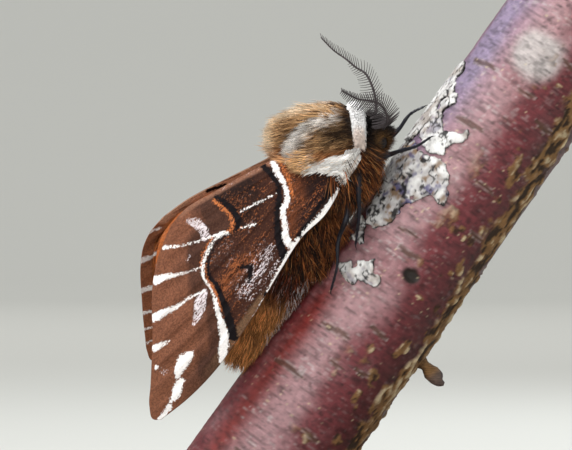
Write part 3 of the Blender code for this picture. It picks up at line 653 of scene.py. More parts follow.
def foreColours(spots, points):  # zone tints, distances into each marking, and dusting of loose scales
    s, c = spots.T
    tint = linearTints(wingTints)
    past = -sideOf(spots, foreMarks["antemedial"][::-1])
    outer = -sideOf(spots, foreMarks["outerLine"][::-1])
    cloud = layeredNoise(points / mm, 2.2, 3)
    streaks = layeredNoise(np.c_[s / 5, c, 0 * s], 0.35, 4)
    base = plain(tint["basal"], len(s))
    base = layered(
        base, tint,
        ("basalDark", smooth(0.3, 2.6, -past + 0.7 * (1.5 - c) - 1.2)),
        ("basalDark", 0.6 * smooth(0.5, 0.65, streaks)),
        ("basalDark", 0.9 * smooth(2.6, 1.2, np.hypot(0.8 * (s - 1.2), c - 0.6))),
    )
    median = plain(tint["median"], len(s))
    median = blendColours(median, tint["medianDark"], smooth(0.35, 0.8, cloud + 0.10 * (c - 4)))
    terminal = plain(tint["terminal"], len(s))
    ragged = np.abs(np.sin(1.15 * (s + 1.2 * c)))
    shaded = smooth(2.4, 0.3, outer - 0.9 * ragged) * 0.75
    shaded += 0.55 * smooth(0.35, -0.9, c - 0.10 * (s - 22)) * smooth(29, 25, s)
    shaded += 0.45 * smooth(9, 7.2, np.hypot(1.6 * (s - 10.5), c - 6.5)) * smooth(3.2, 1.6, outer)
    terminal = blendColours(terminal, tint["terminalDark"], np.clip(shaded, 0, 0.85))
    colour = blendColours(base, median, smooth(-0.05, 0.05, past))
    colour = blendColours(colour, terminal, smooth(-0.05, 0.05, outer))
    costal = smooth(-1.15, -1.5, c - 0.012 * s) * smooth(13.5, 15, s) * smooth(26, 18, s)
    colour = blendColours(colour, tint["costa"], costal)
    inner = insideOutline(spots, outlineOf(forewing))
    fold = smooth(0.65, 0.25, inner) * smooth(4, 5, c) * smooth(0, 1.5, s) * smooth(13.5, 12, s)
    colour = blendColours(colour, tint["margin"], fold)
    marks = markFields(spots, foreMarks)
    inMedian = smooth(0, 0.3, past) * smooth(0, 0.3, -outer)
    nearCosta = np.exp(-((c - 0.1) / 1.15) ** 2) * smooth(8.8, 10.6, s) * smooth(17.0, 13.5, s)
    frost = inMedian * (0.68 * nearCosta * smooth(0.25, 0.6, streaks) + 0.14 * smooth(0.6, 0.8, streaks))
    frost += inMedian * 0.06 * smooth(2.4, 0.8, np.hypot(s - 13.0, c - 4.4))
    frost += 0.85 * nearStroke(spots, ((12.6, 9.3), (12.3, 8.4), (12.5, 7.6)), (0.15, 0.6, 0.3), 0.35)
    frost += 0.8 * nearStroke(spots, ((12.3, 8.0), (12.5, 7.3), (13.0, 6.9)), (0.2, 0.7, 0.3), 0.3)
    triangle = ((17.4, 3.5), (18.3, 3.35), (19.2, 2.9), (20.7, 2.5))
    frost += 0.95 * nearStroke(spots, triangle, (0.3, 0.95, 0.6, 0.05), 0.25)
    frost += 0.3 * nearStroke(spots, ((26.2, 2.3), (26.2, 2.1)), (0.4, 0.4), 0.3)
    frost += 0.35 * nearStroke(spots, ((15.9, 6.9), (15.4, 7.0)), (0.1, 0.05), 0.2)
    frost += 0.12 * smooth(0.15, -0.1, past) * smooth(-1.8, -0.4, past) * smooth(0.35, 0.7, streaks)
    frost += 0.12 * smooth(0.5, 0.15, inner) * smooth(8.5, 8, s) * smooth(3.5, 4.5, s)
    frost *= smooth(0.1, 0.4, np.abs(past))
    rust = inMedian * (0.10 + 0.22 * smooth(0.4, 0.75, streaks))
    rust += inMedian * 0.25 * smooth(1.9, 0.4, np.hypot(s - 8.8, c - 5.9))
    rust += inMedian * 0.55 * smooth(1.5, 0.3, np.abs(c - 2.0 - 0.1 * (s - 13))) * smooth(10, 12.5, s)
    rust += (0.05 + 0.34 * smooth(0.35, 0.65, streaks)) * smooth(0, -0.3, past)
    rust += 0.03 * smooth(0, 0.5, outer)
    bright = smooth(0.3, 0.7, layeredNoise(points / mm, 1.3, 14))
    return colour, marks, np.stack([np.clip(frost, 0, 1), np.clip(rust, 0, 1), bright], axis=1)


underTints = {
    "ground": (184, 104, 48),
    "terminal": (150, 88, 48),
    "rim": (138, 88, 62),
    "inner": (200, 158, 130),
    "innerDark": (124, 84, 66),
}
foreUnderMarks = {
    "white": (
        (((16.4, 11.6), (15.6, 10.7)), (0.55, 0.3)), (((20.4, 9.7), (18.9, 8.4)), (0.95, 0.75)),
        (((24.0, 6.7), (22.4, 5.3)), (0.8, 0.6)), (((26.4, 4.3), (25.2, 3.2)), (0.5, 0.4)),
        (((28.1, 2.7), (27.0, 1.8)), (0.3, 0.2)), (((29.6, 1.3), (28.6, 0.6)), (0.2, 0.15)),
        (((1.3, -1.4), (7.1, -1.6)), (0.6, 0.6)), (((5.6, 5.6), (7.3, 6.9)), (0.12, 0.14)),
    ),
    "black": (
        (((8.7, 6.9), (9.9, 8.3)), (0.5, 0.5)),
        (
            ((9.3, 6.0), (10.6, 4.4), (13.0, 4.0), (15.4, 3.4), (17.2, 1.6), (19.0, -0.8)),
            (0.6, 0.5, 0.4, 0.4, 0.6, 0.7),
        ),
        (((12.6, 1.4), (13.4, 1.0)), (0.5, 0.3)),
        (((16.6, 9.9), (18.9, 8.35), (22.3, 5.2), (25.4, 2.4)), (0.1, 0.16, 0.16, 0.1)),
    ),
    "orange": ((((13.6, 9.6), (16.2, 9.3), (18.3, 7.9), (21.9, 4.7)), (0.3, 0.9, 0.9, 0.5)),),
}


def foreUnderColours(spots, points):
    s, c = spots.T
    tint = linearTints(underTints)
    outer = -sideOf(spots, foreMarks["outerLine"][::-1])
    rim = insideOutline(spots, outlineOf(farForewing))
    inner = nearStroke(spots, farForewing["inner"], (1.6, 1.8, 1.8, 1.8), 0.3)
    streaks = layeredNoise(np.c_[s / 6, c - 0.9 * s, 0 * s], 0.3, 6)
    colour = plain(tint["ground"], len(s))
    colour = layered(
        colour, tint,
        ("terminal", smooth(-0.2, 1.2, outer)),
        ("rim", smooth(1.35, 1.15, rim) * smooth(14.5, 15.5, s)),
    )
    folded = tint["inner"] * (0.75 + 0.5 * streaks[:, None])
    folded = blendColours(folded, tint["innerDark"], smooth(0.6, 0.75, streaks))
    colour = blendColours(colour, folded, inner * smooth(15.4, 14.6, s))
    marks = markFields(spots, foreUnderMarks)
    cloud = layeredNoise(points / mm, 2.0, 5)
    dust = np.stack([0.03 + 0 * s, 0.15 * smooth(0.4, 0.8, cloud), cloud], axis=1)
    return colour, marks, dust


hindTints = {"ground": (170, 92, 42), "root": (112, 62, 38), "margin": (150, 84, 44)}
hindMarks = {
    "white": (
        (((18.3, 9.6), (17.5, 8.7)), (0.6, 0.3)), (((20.0, 7.2), (18.9, 6.7)), (0.6, 0.3)),
        (((20.1, 4.8), (18.8, 4.6)), (0.6, 0.4)), (((14.8, 1.4), (13.5, 1.6)), (0.6, 0.5)),
    ),
    "black": (
        (
            (
                (11.6, 0.8), (13.2, 2.8), (15.0, 4.2), (15.6, 5.8), (14.4, 7.4), (13.0, 8.6),
                (12.0, 10.4),
            ),
            (0.5, 0.5, 0.6, 0.6, 0.6, 0.5, 0.4),
        ),
        (((8.0, 2.9), (8.5, 3.4)), (0.4, 0.4)),
    ),
    "orange": (
        (
            (
                (12.3, 0.9), (13.9, 2.6), (15.7, 4.0), (16.3, 5.8), (15.1, 7.7), (13.6, 9.1),
                (12.6, 10.6),
            ),
            (0.3, 0.3),
        ),
    ),
}


def hindColours(spots, points):
    s, c = spots.T
    tint = linearTints(hindTints)
    rim = insideOutline(spots, outlineOf(hindwing))
    colour = plain(tint["ground"], len(s))
    colour = layered(
        colour, tint,
        ("root", smooth(8, 3, s)),
        ("margin", smooth(0.9, 0.4, rim) * smooth(10, 12, s) * 0.8),
    )
    marks = markFields(spots, hindMarks)
    cloud = layeredNoise(points / mm, 1.8, 9)
    return colour, marks, np.stack([0.05 + 0 * s, 0.3 * smooth(0.3, 0.7, cloud), cloud], axis=1)


def outlineOf(plan):  # the wing's outline as one closed line
    costa, inner, termen = (curveThrough(plan[edge]) for edge in ("costa", "inner", "termen"))
    shares = np.linspace(0, 1, 24)[:-1]
    return np.concatenate([costa(shares), termen(shares), inner(1 - shares)])


scaleLook = {
    "scale": (0.11, 0.06),  # a wing scale's length and width, mm
    "white": (240, 236, 234),
    "frost": (220, 210, 214),
    "black": (17, 12, 14),
    "orange": (182, 106, 60),
    "rust": (146, 84, 48),
    "rustDark": (98, 56, 34),
    "ragged": 0.26,
}


def scalesLook():
    look, tree, shader = newLook("wing scales", Roughness=0.72, Specular_IOR_Level=0.10)
    length, width = scaleLook["scale"]
    place = addNode(tree, "UVMap", {"uv_map": "wingMap"}).outputs[0]
    sized = addNode(tree, "Mapping", Vector=place, Scale=(1 / length, 1 / width, 1)).outputs[0]
    cells = addNode(tree, "TexVoronoi", {"voronoi_dimensions": "2D"}, Vector=sized, Scale=1.0,
                    Randomness=0.85)
    draw = addNode(tree, "SeparateColor", Color=cells.outputs["Color"])
    coarse = addNode(tree, "TexNoise", {"noise_dimensions": "2D"}, Vector=place, Scale=3.2, Detail=3.0)
    drawn = addNode(tree, "Mapping", Vector=place, Scale=(1.0, 5.2, 1)).outputs[0]
    rows = addNode(tree, "TexNoise", {"noise_dimensions": "2D"}, Vector=drawn, Scale=1.6, Detail=4.0)
    streak = rampNode(tree, rows.outputs["Fac"], 0.34, 0.66, 0.3, 1.6)
    marks, dust = (addNode(tree, "SeparateColor", Color=readLayer(tree, name))
                   for name in ("marks", "dust"))
    shade = rampNode(tree, draw.outputs[1], 0.0, 1.0, 0.66, 1.34)
    shade = mathNode(tree, "MULTIPLY", shade, rampNode(tree, coarse.outputs["Fac"], 0.3, 0.7, 0.88, 1.12))
    grey = greyOf(tree, shade)
    soft = rampNode(tree, shade, 0.5, 1.5, 0.78, 1.08)
    paleGrey = greyOf(tree, soft)
    colour = mixColour(tree, 1.0, readLayer(tree, "tint"), grey, "MULTIPLY")
    rust = mixColour(tree, dust.outputs[2], opaque(scaleLook["rustDark"]), opaque(scaleLook["rust"]))

    def over(colour, mask, tone, lit=grey):
        tone = opaque(scaleLook[tone]) if isinstance(tone, str) else tone
        return mixColour(tree, mask, colour, mixColour(tree, 1.0, tone, lit, "MULTIPLY"))

    edges = addNode(tree, "TexNoise", {"noise_dimensions": "2D"}, Vector=place, Scale=3.5, Detail=2.0)
    wander = mathNode(tree, "SUBTRACT", edges.outputs["Fac"], 0.5)

    def crisp(distance, seed, ragged):
        jagged = mathNode(tree, "MULTIPLY", mathNode(tree, "SUBTRACT", seed, 0.5), ragged)
        jagged = mathNode(tree, "ADD", jagged, mathNode(tree, "MULTIPLY", wander, 1.6 * ragged))
        return rampNode(tree, mathNode(tree, "ADD", distance, jagged), -0.02, 0.02)

    def sprinkled(density, seed, soft):
        extra = mathNode(tree, "SUBTRACT", mathNode(tree, "MULTIPLY", density, streak), seed)
        return rampNode(tree, extra, 0.0, soft)

    ragged = scaleLook["ragged"]
    colour = over(colour, sprinkled(dust.outputs[1], draw.outputs[2], 0.25), rust)
    colour = over(colour, sprinkled(dust.outputs[0], draw.outputs[0], 0.25), "frost", paleGrey)
    colour = over(colour, crisp(marks.outputs[2], draw.outputs[2], 1.6 * ragged), "orange")
    colour = over(colour, crisp(marks.outputs[1], draw.outputs[1], 0.8 * ragged), "black")
    colour = over(colour, crisp(marks.outputs[0], draw.outputs[0], 0.8 * ragged), "white", paleGrey)
    tree.links.new(colour, shader.inputs["Base Color"])
    ridges = addNode(tree, "TexWave", {"wave_type": "BANDS", "bands_direction": "Y"}, Vector=sized,
                     Scale=0.5, Distortion=2.0, Detail=1.0)
    ridge = mathNode(tree, "MULTIPLY", ridges.outputs["Fac"], 0.4)
    addBump(tree, shader, mathNode(tree, "ADD", cells.outputs["Distance"], ridge), 0.4, 0.03)
    return look


def addGrid(name, cells):  # a grid of the tool's own, with its places from 0 to 1 across and along it
    selectNone()
    bpy.ops.mesh.primitive_grid_add(x_subdivisions=cells[0], y_subdivisions=cells[1], size=2)
    grid = named(name)
    flat = pointsOf(grid.data)
    return grid, (flat[:, 0] + 1) / 2, (flat[:, 1] + 1) / 2


def addWing(name, side, plan, look, upper, lower):  # a thin closed sheet, made from a grid on the outline
    grid, across, out = addGrid(name, plan["cells"])
    cells = np.array([polygon.vertices[:] for polygon in grid.data.polygons])
    bpy.data.objects.remove(grid, do_unlink=True)
    spots = wingSpots(plan, across, out)
    rim = np.maximum(insideOutline(spots, outlineOf(plan)), 0)
    thin, thick = wings["thickness"]
    half = (thin + (thick - thin) * smooth(0, wings["rim"], rim)) / 2
    width = np.maximum(np.linalg.norm(wingSpots(plan, across + 0.01, out) - spots, axis=1) / 0.01, 1)
    veins = sum(np.exp(-(((across - vein) * width) / wings["veinWidth"]) ** 2) for vein in plan["veins"])
    veins *= smooth(0.02, 0.12, out) * smooth(0, 0.8, rim)
    crease = 0.12 * np.sin(across * 2 * math.pi * (len(plan["veins"]) + 1)) * smooth(0.3, 0.9, out)
    ripple = 0.10 * (layeredNoise(np.c_[spots, 0 * across], 3.0, 21) - 0.5)
    surface = plan["height"] + (crease + ripple) * smooth(0, 1.5, rim)
    sheets = []
    for face, rise in ((upper, half + wings["veinHeight"] * veins),
                       (lower, -half - wings["veinHeight"] * veins)):
        points = onWing(side, spots, surface + rise)
        tint, marks, dust = face(spots, onWing(side, spots, surface))
        tint = tint * (1 - 0.12 * np.clip(veins, 0, 1))[:, None]
        sheets.append((points, tint, marks, dust))
    points, quads = closedSheet(sheets[0][0], sheets[1][0], cells)
    piece = meshFrom(name, points, quads, look)
    for index, label in ((1, "tint"), (2, "marks"), (3, "dust")):
        giveColours(piece.data, label, np.concatenate([sheet[index] for sheet in sheets]))
    corner, farCorner = wings["bakeCorners"]
    bake = spots / wings["bakeSize"]
    giveMap(piece.data, "OFBake", np.concatenate([bake + corner, bake + farCorner]))
    giveMap(piece.data, "wingMap", np.concatenate([spots, spots + wings["mapGap"]]))
    return finishPiece(piece, name.split("_")[0] + "_scales", name.replace("_sheet", ""))


wingLook = scalesLook()
for side, fore, hind in (("right", forewing, hindwing), ("left", farForewing, farHindwing)):
    addWing("forewing_" + side + "_sheet", side, fore, wingLook, foreColours, foreUnderColours)
    addWing("hindwing_" + side + "_sheet", side, hind, wingLook, hindColours, hindColours)
print("wings done")

# Body: one skin under the coat
body = {
    "thorax": ((0.6, 2.2, 0), (4.2, 4.3, 3.9)),
    "head": ((3.9, -0.6, 0), (1.75, 1.75, 1.75)),
    "abdomenPath": (
        (-3.9, 0.7, 0), (-5.5, 0.3, 0), (-8, 0.1, 0), (-11, 0, 0.2), (-14, -0.1, 0.5), (-17, -0.2, 0.8),
        (-19.5, -0.4, 1.1), (-21.2, -0.6, 1.3),
    ),
    "abdomenRadii": (1.6, 2.5, 2.9, 2.8, 2.5, 2.0, 1.5, 0.8),
    "eye": ((4.0, -1.4, 1.35), 0.8),
    "collar": (
        (2.8, 0.7, 3.5), (4.0, 1.3, 3.15), (4.95, 1.75, 2.1), (5.3, 1.95, 1.0), (5.35, 2.0, 0),
        (5.3, 1.95, -1.0), (4.95, 1.75, -2.1), (4.0, 1.3, -3.15), (2.8, 0.7, -3.5),
    ),
    "collarRadii": (0.66, 0.74, 0.82, 0.74, 0.66),
    "skinDepth": 0.15,
    "voxel": 0.22,
}
abdomenPath = curveThrough(body["abdomenPath"])
collarPath = curveThrough(body["collar"])


def abdomenRadius(share):
    return spread01(body["abdomenRadii"], share)


def collarRadius(share):
    return spread01(body["collarRadii"], share)


coatTints = {  # as seen on a screen
    "tan": (226, 182, 132),
    "paleTan": (244, 228, 202),
    "brown": (112, 74, 46),
    "dark": (40, 27, 19),
    "black": (20, 16, 15),
    "white": (254, 253, 253),
    "cream": (246, 234, 216),
    "orange": (186, 112, 62),
    "rust": (132, 70, 32),
    "golden": (168, 124, 76),
    "redBrown": (88, 44, 32),
    "grey": (214, 208, 208),
    "tail": (234, 164, 98),
}
tint = linearTints(coatTints)


def alongMask(places, path, radius, soft=0.4):  # 1 within a radius of a line
    line = curveThrough(path)(np.linspace(0, 1, 16))
    reach = np.min([np.linalg.norm(places - point, axis=1) for point in line], axis=0)
    return smooth(radius * (1 + soft), radius * (1 - soft), reach)


def rooted(colour, share, depth=0.45):  # darker towards the roots, where little light reaches
    return colour * (1 - depth + depth * smooth(0, 0.6, share))[:, None]


def sideView(places, folded=True):  # both sides of the moth laid on one side view, in tenths of a mm
    f, u, r = places.T
    r = np.abs(r) if folded else r
    return np.stack([345 + 5.1 * f - 8.5 * u + 1.2 * r, 165 - 8.3 * f - 4.6 * u + 3.0 * r], axis=1)


def inSideView(spots, depth):  # and back again, this far out from the middle
    x, y = spots[:, 0] - 345 - 1.2 * depth, spots[:, 1] - 165 - 3.0 * depth
    return np.stack([(4.6 * x - 8.5 * y) / 94, -(8.3 * x + 5.1 * y) / 94, depth], axis=1)


coatOutlines = {  # as the side view has them
    "thorax": (
        (345, 104), (325, 104), (308, 107), (291, 109), (276, 113), (268, 118), (263, 122), (260, 130),
        (260, 138), (263, 146), (268, 155), (272, 160), (285, 166), (293, 170), (310, 178), (345, 186),
        (360, 165), (362, 150), (358, 135), (354, 118),
    ),
    "tegula": (
        (343, 106), (327, 115), (318, 119), (308, 122), (298, 126), (294, 132), (288, 141), (284, 147),
        (284, 155), (287, 160), (293, 165), (303, 163), (315, 159), (327, 154), (341, 153), (357, 151),
        (354, 137), (351, 124), (347, 112),
    ),
    "wingBase": (
        (303, 171), (308, 165), (319, 161), (330, 157), (342, 155), (354, 153), (356, 161), (350, 173),
        (344, 180), (342, 174), (334, 173), (327, 173), (323, 169), (315, 172), (308, 172),
    ),
    "wisps": ((344, 152), (358, 150), (360, 160), (352, 172), (344, 184), (342, 172)),
    "collar": (
        (342, 106), (348, 104), (356, 106), (364, 112), (369, 120), (371, 129), (370, 141), (367, 149),
        (356, 150), (354, 138), (350, 127), (345, 115),
    ),
    "chest": (
        (330, 148), (356, 150), (369, 148), (383, 148), (389, 157), (388, 172), (385, 187), (375, 201),
        (368, 212), (365, 226), (361, 242), (353, 256), (343, 266), (325, 270), (290, 240),
    ),
}


def trimmed(roots, aims, length, outline, draw):  # lengths cut so the tips keep inside the outline
    ragged = 14.0 * draw.random(len(roots)) ** 4 - 3.0 * draw.random(len(roots))
    kept = np.full(len(roots), 0.1)
    for share in np.linspace(0.1, 1, 11):
        tips = roots + (share * length)[:, None] * aims
        inside = insideOutline(sideView(tips), outline) > -ragged
        if outline is not coatOutlines["chest"]:
            inside &= insideOutline(sideView(tips, False), coatOutlines["thorax"]) > -ragged
        kept = np.where(inside, share, kept)
    return length * kept


def spotMask(view, middle, radii):  # 1 at the middle, fading out softly
    return np.exp(-(((view - middle) / radii) ** 2).sum(axis=1))


def thoraxPaint(places, share, luck):
    view = sideView(places)
    colour = blendColours(plain(tint["brown"], len(places)), tint["tan"],
                          smooth(0.05, 0.6, share) * smooth(0.0, 0.5, luck))
    colour = layered(
        colour, tint,
        ("dark", smooth(0.18, 0.04, luck) * 0.6),
        # painted shadow: browner fur just behind the tegula's pale tips
        ("brown", spotMask(view, (288, 133), (11, 13)) * 0.85),
        # painted shade: darker in the seam where the collar, tegula and back meet
        ("dark", spotMask(view, (344, 113), (7, 9)) * 0.6),
    )
    edge = alongMask(view, ((300, 107), (275, 113), (262, 125), (260, 138), (265, 150)), 6.5, 0.6)
    colour = blendColours(colour, tint["paleTan"], smooth(0.4, 0.95, share) * edge * (0.5 + 0.5 * luck))
    top = alongMask(view, ((345, 104), (325, 104), (308, 107)), 4.0, 0.5)
    colour = blendColours(colour, tint["paleTan"], smooth(0.6, 1.0, share) * top * luck)
    low = spotMask(view, (276, 156), (12, 8))
    colour = blendColours(colour, tint["orange"], low * 0.7)
    return rooted(colour, share, 0.45)


def tegulaPaint(places, share, luck):  # dark at the shoulder, striped, then white tips
    view = sideView(places)
    colour = blendColours(plain(tint["brown"], len(places)), tint["golden"], smooth(0.35, 0.9, luck))
    colour = layered(
        colour, tint,
        ("tan", smooth(0.5, 1.0, share) * luck),
        ("dark", smooth(0.4, 0.1, luck) * 0.75),
    )
    darkFan = np.maximum(spotMask(view, (347, 127), (12, 19)), spotMask(view, (333, 136), (15, 9)) * 0.85)
    colour = blendColours(colour, tint["dark"], np.clip(darkFan * 1.25, 0, 0.97))
    tips = alongMask(view, ((324, 116), (316, 119), (306, 123), (297, 129), (291, 139), (286, 148),
                            (287, 157), (295, 164)), 8.5, 0.6)
    pale = tips * smooth(0.35, 0.8, share)
    colour = layered(
        colour, tint,
        ("cream", pale * smooth(0.0, 0.2, luck)),
        ("white", pale * smooth(0.3, 0.5, luck)),
    )
    low = (smooth(6, 0, np.abs(view[:, 1] - 156 + 0.25 * (view[:, 0] - 330) * 0.4))
           * smooth(300, 320, view[:, 0]))
    colour = blendColours(colour, tint["orange"], low * (0.3 + 0.6 * luck))
    return rooted(colour, share, 0.6 - 0.5 * tips)


def whitePaint(places, share, luck):
    colour = blendColours(plain(tint["white"], len(places)), tint["cream"], 0.35 * luck)
    return rooted(blendColours(colour, tint["tan"], smooth(0.92, 1.0, luck) * 0.6), share, 0.1)


def wispPaint(places, share, luck):
    colour = blendColours(plain(tint["white"], len(places)), tint["cream"], 0.6 * luck)
    return rooted(blendColours(colour, tint["orange"], smooth(0.8, 1.0, luck) * 0.5), share, 0.3)


def chestPaint(places, share, luck):
    view = sideView(places)
    colour = blendColours(plain(tint["dark"], len(places)), tint["rust"], smooth(0.46, 0.64, luck) * 0.9)
    colour = layered(
        colour, tint,
        ("orange", smooth(0.7, 0.78, luck) * smooth(0.2, 0.7, share) * 0.85),
        ("golden", smooth(0.86, 0.92, luck) * smooth(0.2, 0.7, share) * 0.7),
    )
    face = spotMask(view, (383, 143), (8, 9))
    colour = blendColours(colour, tint["golden"], face * (0.4 + 0.6 * luck) * smooth(0.2, 0.8, share))
    neck = spotMask(view, (370, 142), (10, 13))
    colour = blendColours(colour, tint["black"], np.clip(neck * 1.5, 0, 0.95))
    low = spotMask(view, (343, 240), (16, 18))
    colour = blendColours(colour, tint["orange"], low * smooth(0.25, 0.5, luck)
                          * smooth(0.2, 0.7, share) * 0.9)
    return rooted(colour, share, 0.65)


def collarPaint(places, share, luck):
    colour = plain(tint["white"], len(places))
    lower = smooth(3.1, 3.8, np.abs(places[:, 2]))
    colour = blendColours(colour, linear((232, 204, 186)), lower * 0.6)
    # painted shade: a little darker towards the roots
    return colour * (0.9 + 0.1 * smooth(0, 0.4, share))[:, None]


def headPaint(places, share, luck):
    view = sideView(places)
    face = spotMask(view, (383, 141), (7, 8))
    colour = blendColours(plain(tint["black"], len(places)), tint["golden"],
                          face * smooth(0.15, 0.6, share) * (0.3 + 0.7 * luck))
    return blendColours(colour, tint["rust"], smooth(-2.2, -3.0, places[:, 1]) * 0.4 * (1 - face))


def abdomenPaint(places, share, luck):
    f, u, r = places.T
    colour = blendColours(plain(tint["redBrown"], len(places)), tint["dark"],
                          smooth(0.55, 0.3, luck) * 0.85)
    colour = blendColours(colour, linear((150, 74, 44)), smooth(0.6, 0.9, luck) * smooth(0.2, 0.8, share))
    colour = blendColours(colour, tint["grey"], smooth(0.92, 0.96, luck) * 0.6)
    tail = smooth(-14.0, -17.0, f)
    colour = layered(
        colour, tint,
        ("tail", tail * (0.45 + 0.55 * luck)),
        ("paleTan", tail * smooth(-1.6, -2.8, u) * 0.5),
    )
    return rooted(colour, share, 0.6)


def fringePaint(places, share, luck):
    colour = blendColours(plain(tint["rust"], len(places)), tint["grey"],
                          smooth(0.55, 0.7, luck) * smooth(0.1, 0.6, share))
    colour = blendColours(colour, tint["dark"], smooth(0.45, 0.3, luck) * 0.85)
    return rooted(colour, share, 0.5)


def ovalRoots(core, count, polar, around, draw):  # random places on an oval's skin, out and tailwards
    middle, radii = (np.array(value, float) for value in core)
    low, high = (math.cos(math.radians(value)) for value in polar)
    tilt = np.arccos(low + (high - low) * draw.random(count))
    turn = np.radians(around[0] + (around[1] - around[0]) * draw.random(count))
    sin, cos = np.sin(tilt), np.cos(tilt)
    ball = np.stack([cos, sin * np.cos(turn), sin * np.sin(turn)], axis=1)
    slope = np.stack([-sin, cos * np.cos(turn), cos * np.sin(turn)], axis=1)
    spread = np.stack([turn / (2 * math.pi) % 1, tilt / math.pi], axis=1)
    return middle + ball * radii, unit(ball / radii), unit(slope * radii), spread


def ovalSpread(core, roots):  # the same unwrap for roots that lie off the oval
    ball = unit((roots - np.array(core[0])) / np.array(core[1]))
    turn = np.arctan2(ball[:, 2], ball[:, 1])
    return np.stack([turn / (2 * math.pi) % 1, np.arccos(ball[:, 0]) / math.pi], axis=1)


def tubeRoots(path, radius, count, shares, around, draw, guide=(0, 1, 0)):  # places on a bent tube
    share = shares[0] + (shares[1] - shares[0]) * draw.random(count)
    turn = np.radians(around[0] + (around[1] - around[0]) * draw.random(count))
    middle = path(share)
    backs = unit(path(np.minimum(share + 0.02, 1)) - path(np.maximum(share - 0.02, 0)))
    top = unit(np.array(guide, float) - backs * (backs @ np.array(guide, float))[:, None])
    side = np.cross(top, backs)
    side *= np.sign(side[:, 2:] + 1e-9)  # to the right all along
    outs = top * np.cos(turn)[:, None] + side * np.sin(turn)[:, None]
    roots = middle + outs * radius(share)[:, None]
    return roots, outs, backs, np.stack([turn / (2 * math.pi) % 1, share], axis=1)


coat = {
    "rings": (0.0, 0.35, 0.72),  # a blade's sections as shares of its length, before its tip
    "fewRings": (0.0, 0.5),  # and on short hair
    "section": ((0, 0.35, 0.72), (0.85, 1, 0.62)),  # its width along it
    "turns": (90, 210, 330),
    "flat": 0.55,
    "patch": 0.003,  # a tuft's size on the OFBake map
    "sink": 0.25,
    "most": 12000,  # tufts in one piece
    "reach": (3.0, 0.5),  # how near a clump's middle its hair leans to it, mm
}
coatStyle = {  # what each patch of hair changes; angles in degrees, lengths in mm
    "lift": None,
    "width": 0.105,
    "rings": coat["rings"],
    "stray": 10,
    "tousle": 0.15,
    "droop": 0.45,
    "curl": 0.08,
    "clumps": 0.02,
    "clumping": 0.45,
    "locks": 0.18,
    "shades": 0.16,
    "fleck": 0.22,
    "trim": None,
    "lengthAt": None,
}


def nearestClump(roots, clumps, draw):  # each root's clump, as the root at its middle and how far it is
    owner = np.zeros(len(roots), int)
    best = np.full(len(roots), 1e9)
    for k in draw.choice(len(roots), clumps, replace=False):
        reach = np.sum((roots - roots[k]) ** 2, axis=1)
        closer = reach < best
        owner[closer] = k
        best[closer] = reach[closer]
    return owner, np.sqrt(best)


def bladeFaces(sections):  # three-sided, closed at the root and drawn to a point
    face = [(2, 1, 0)]
    for ring in range(sections - 1):
        for k in range(3):
            a, b = 3 * ring + k, 3 * ring + (k + 1) % 3
            face += [(a, b, b + 3), (a, b + 3, a + 3)]
    top = 3 * (sections - 1)
    face += [(top + k, top + (k + 1) % 3, top + 3) for k in range(3)]
    return np.array(face)


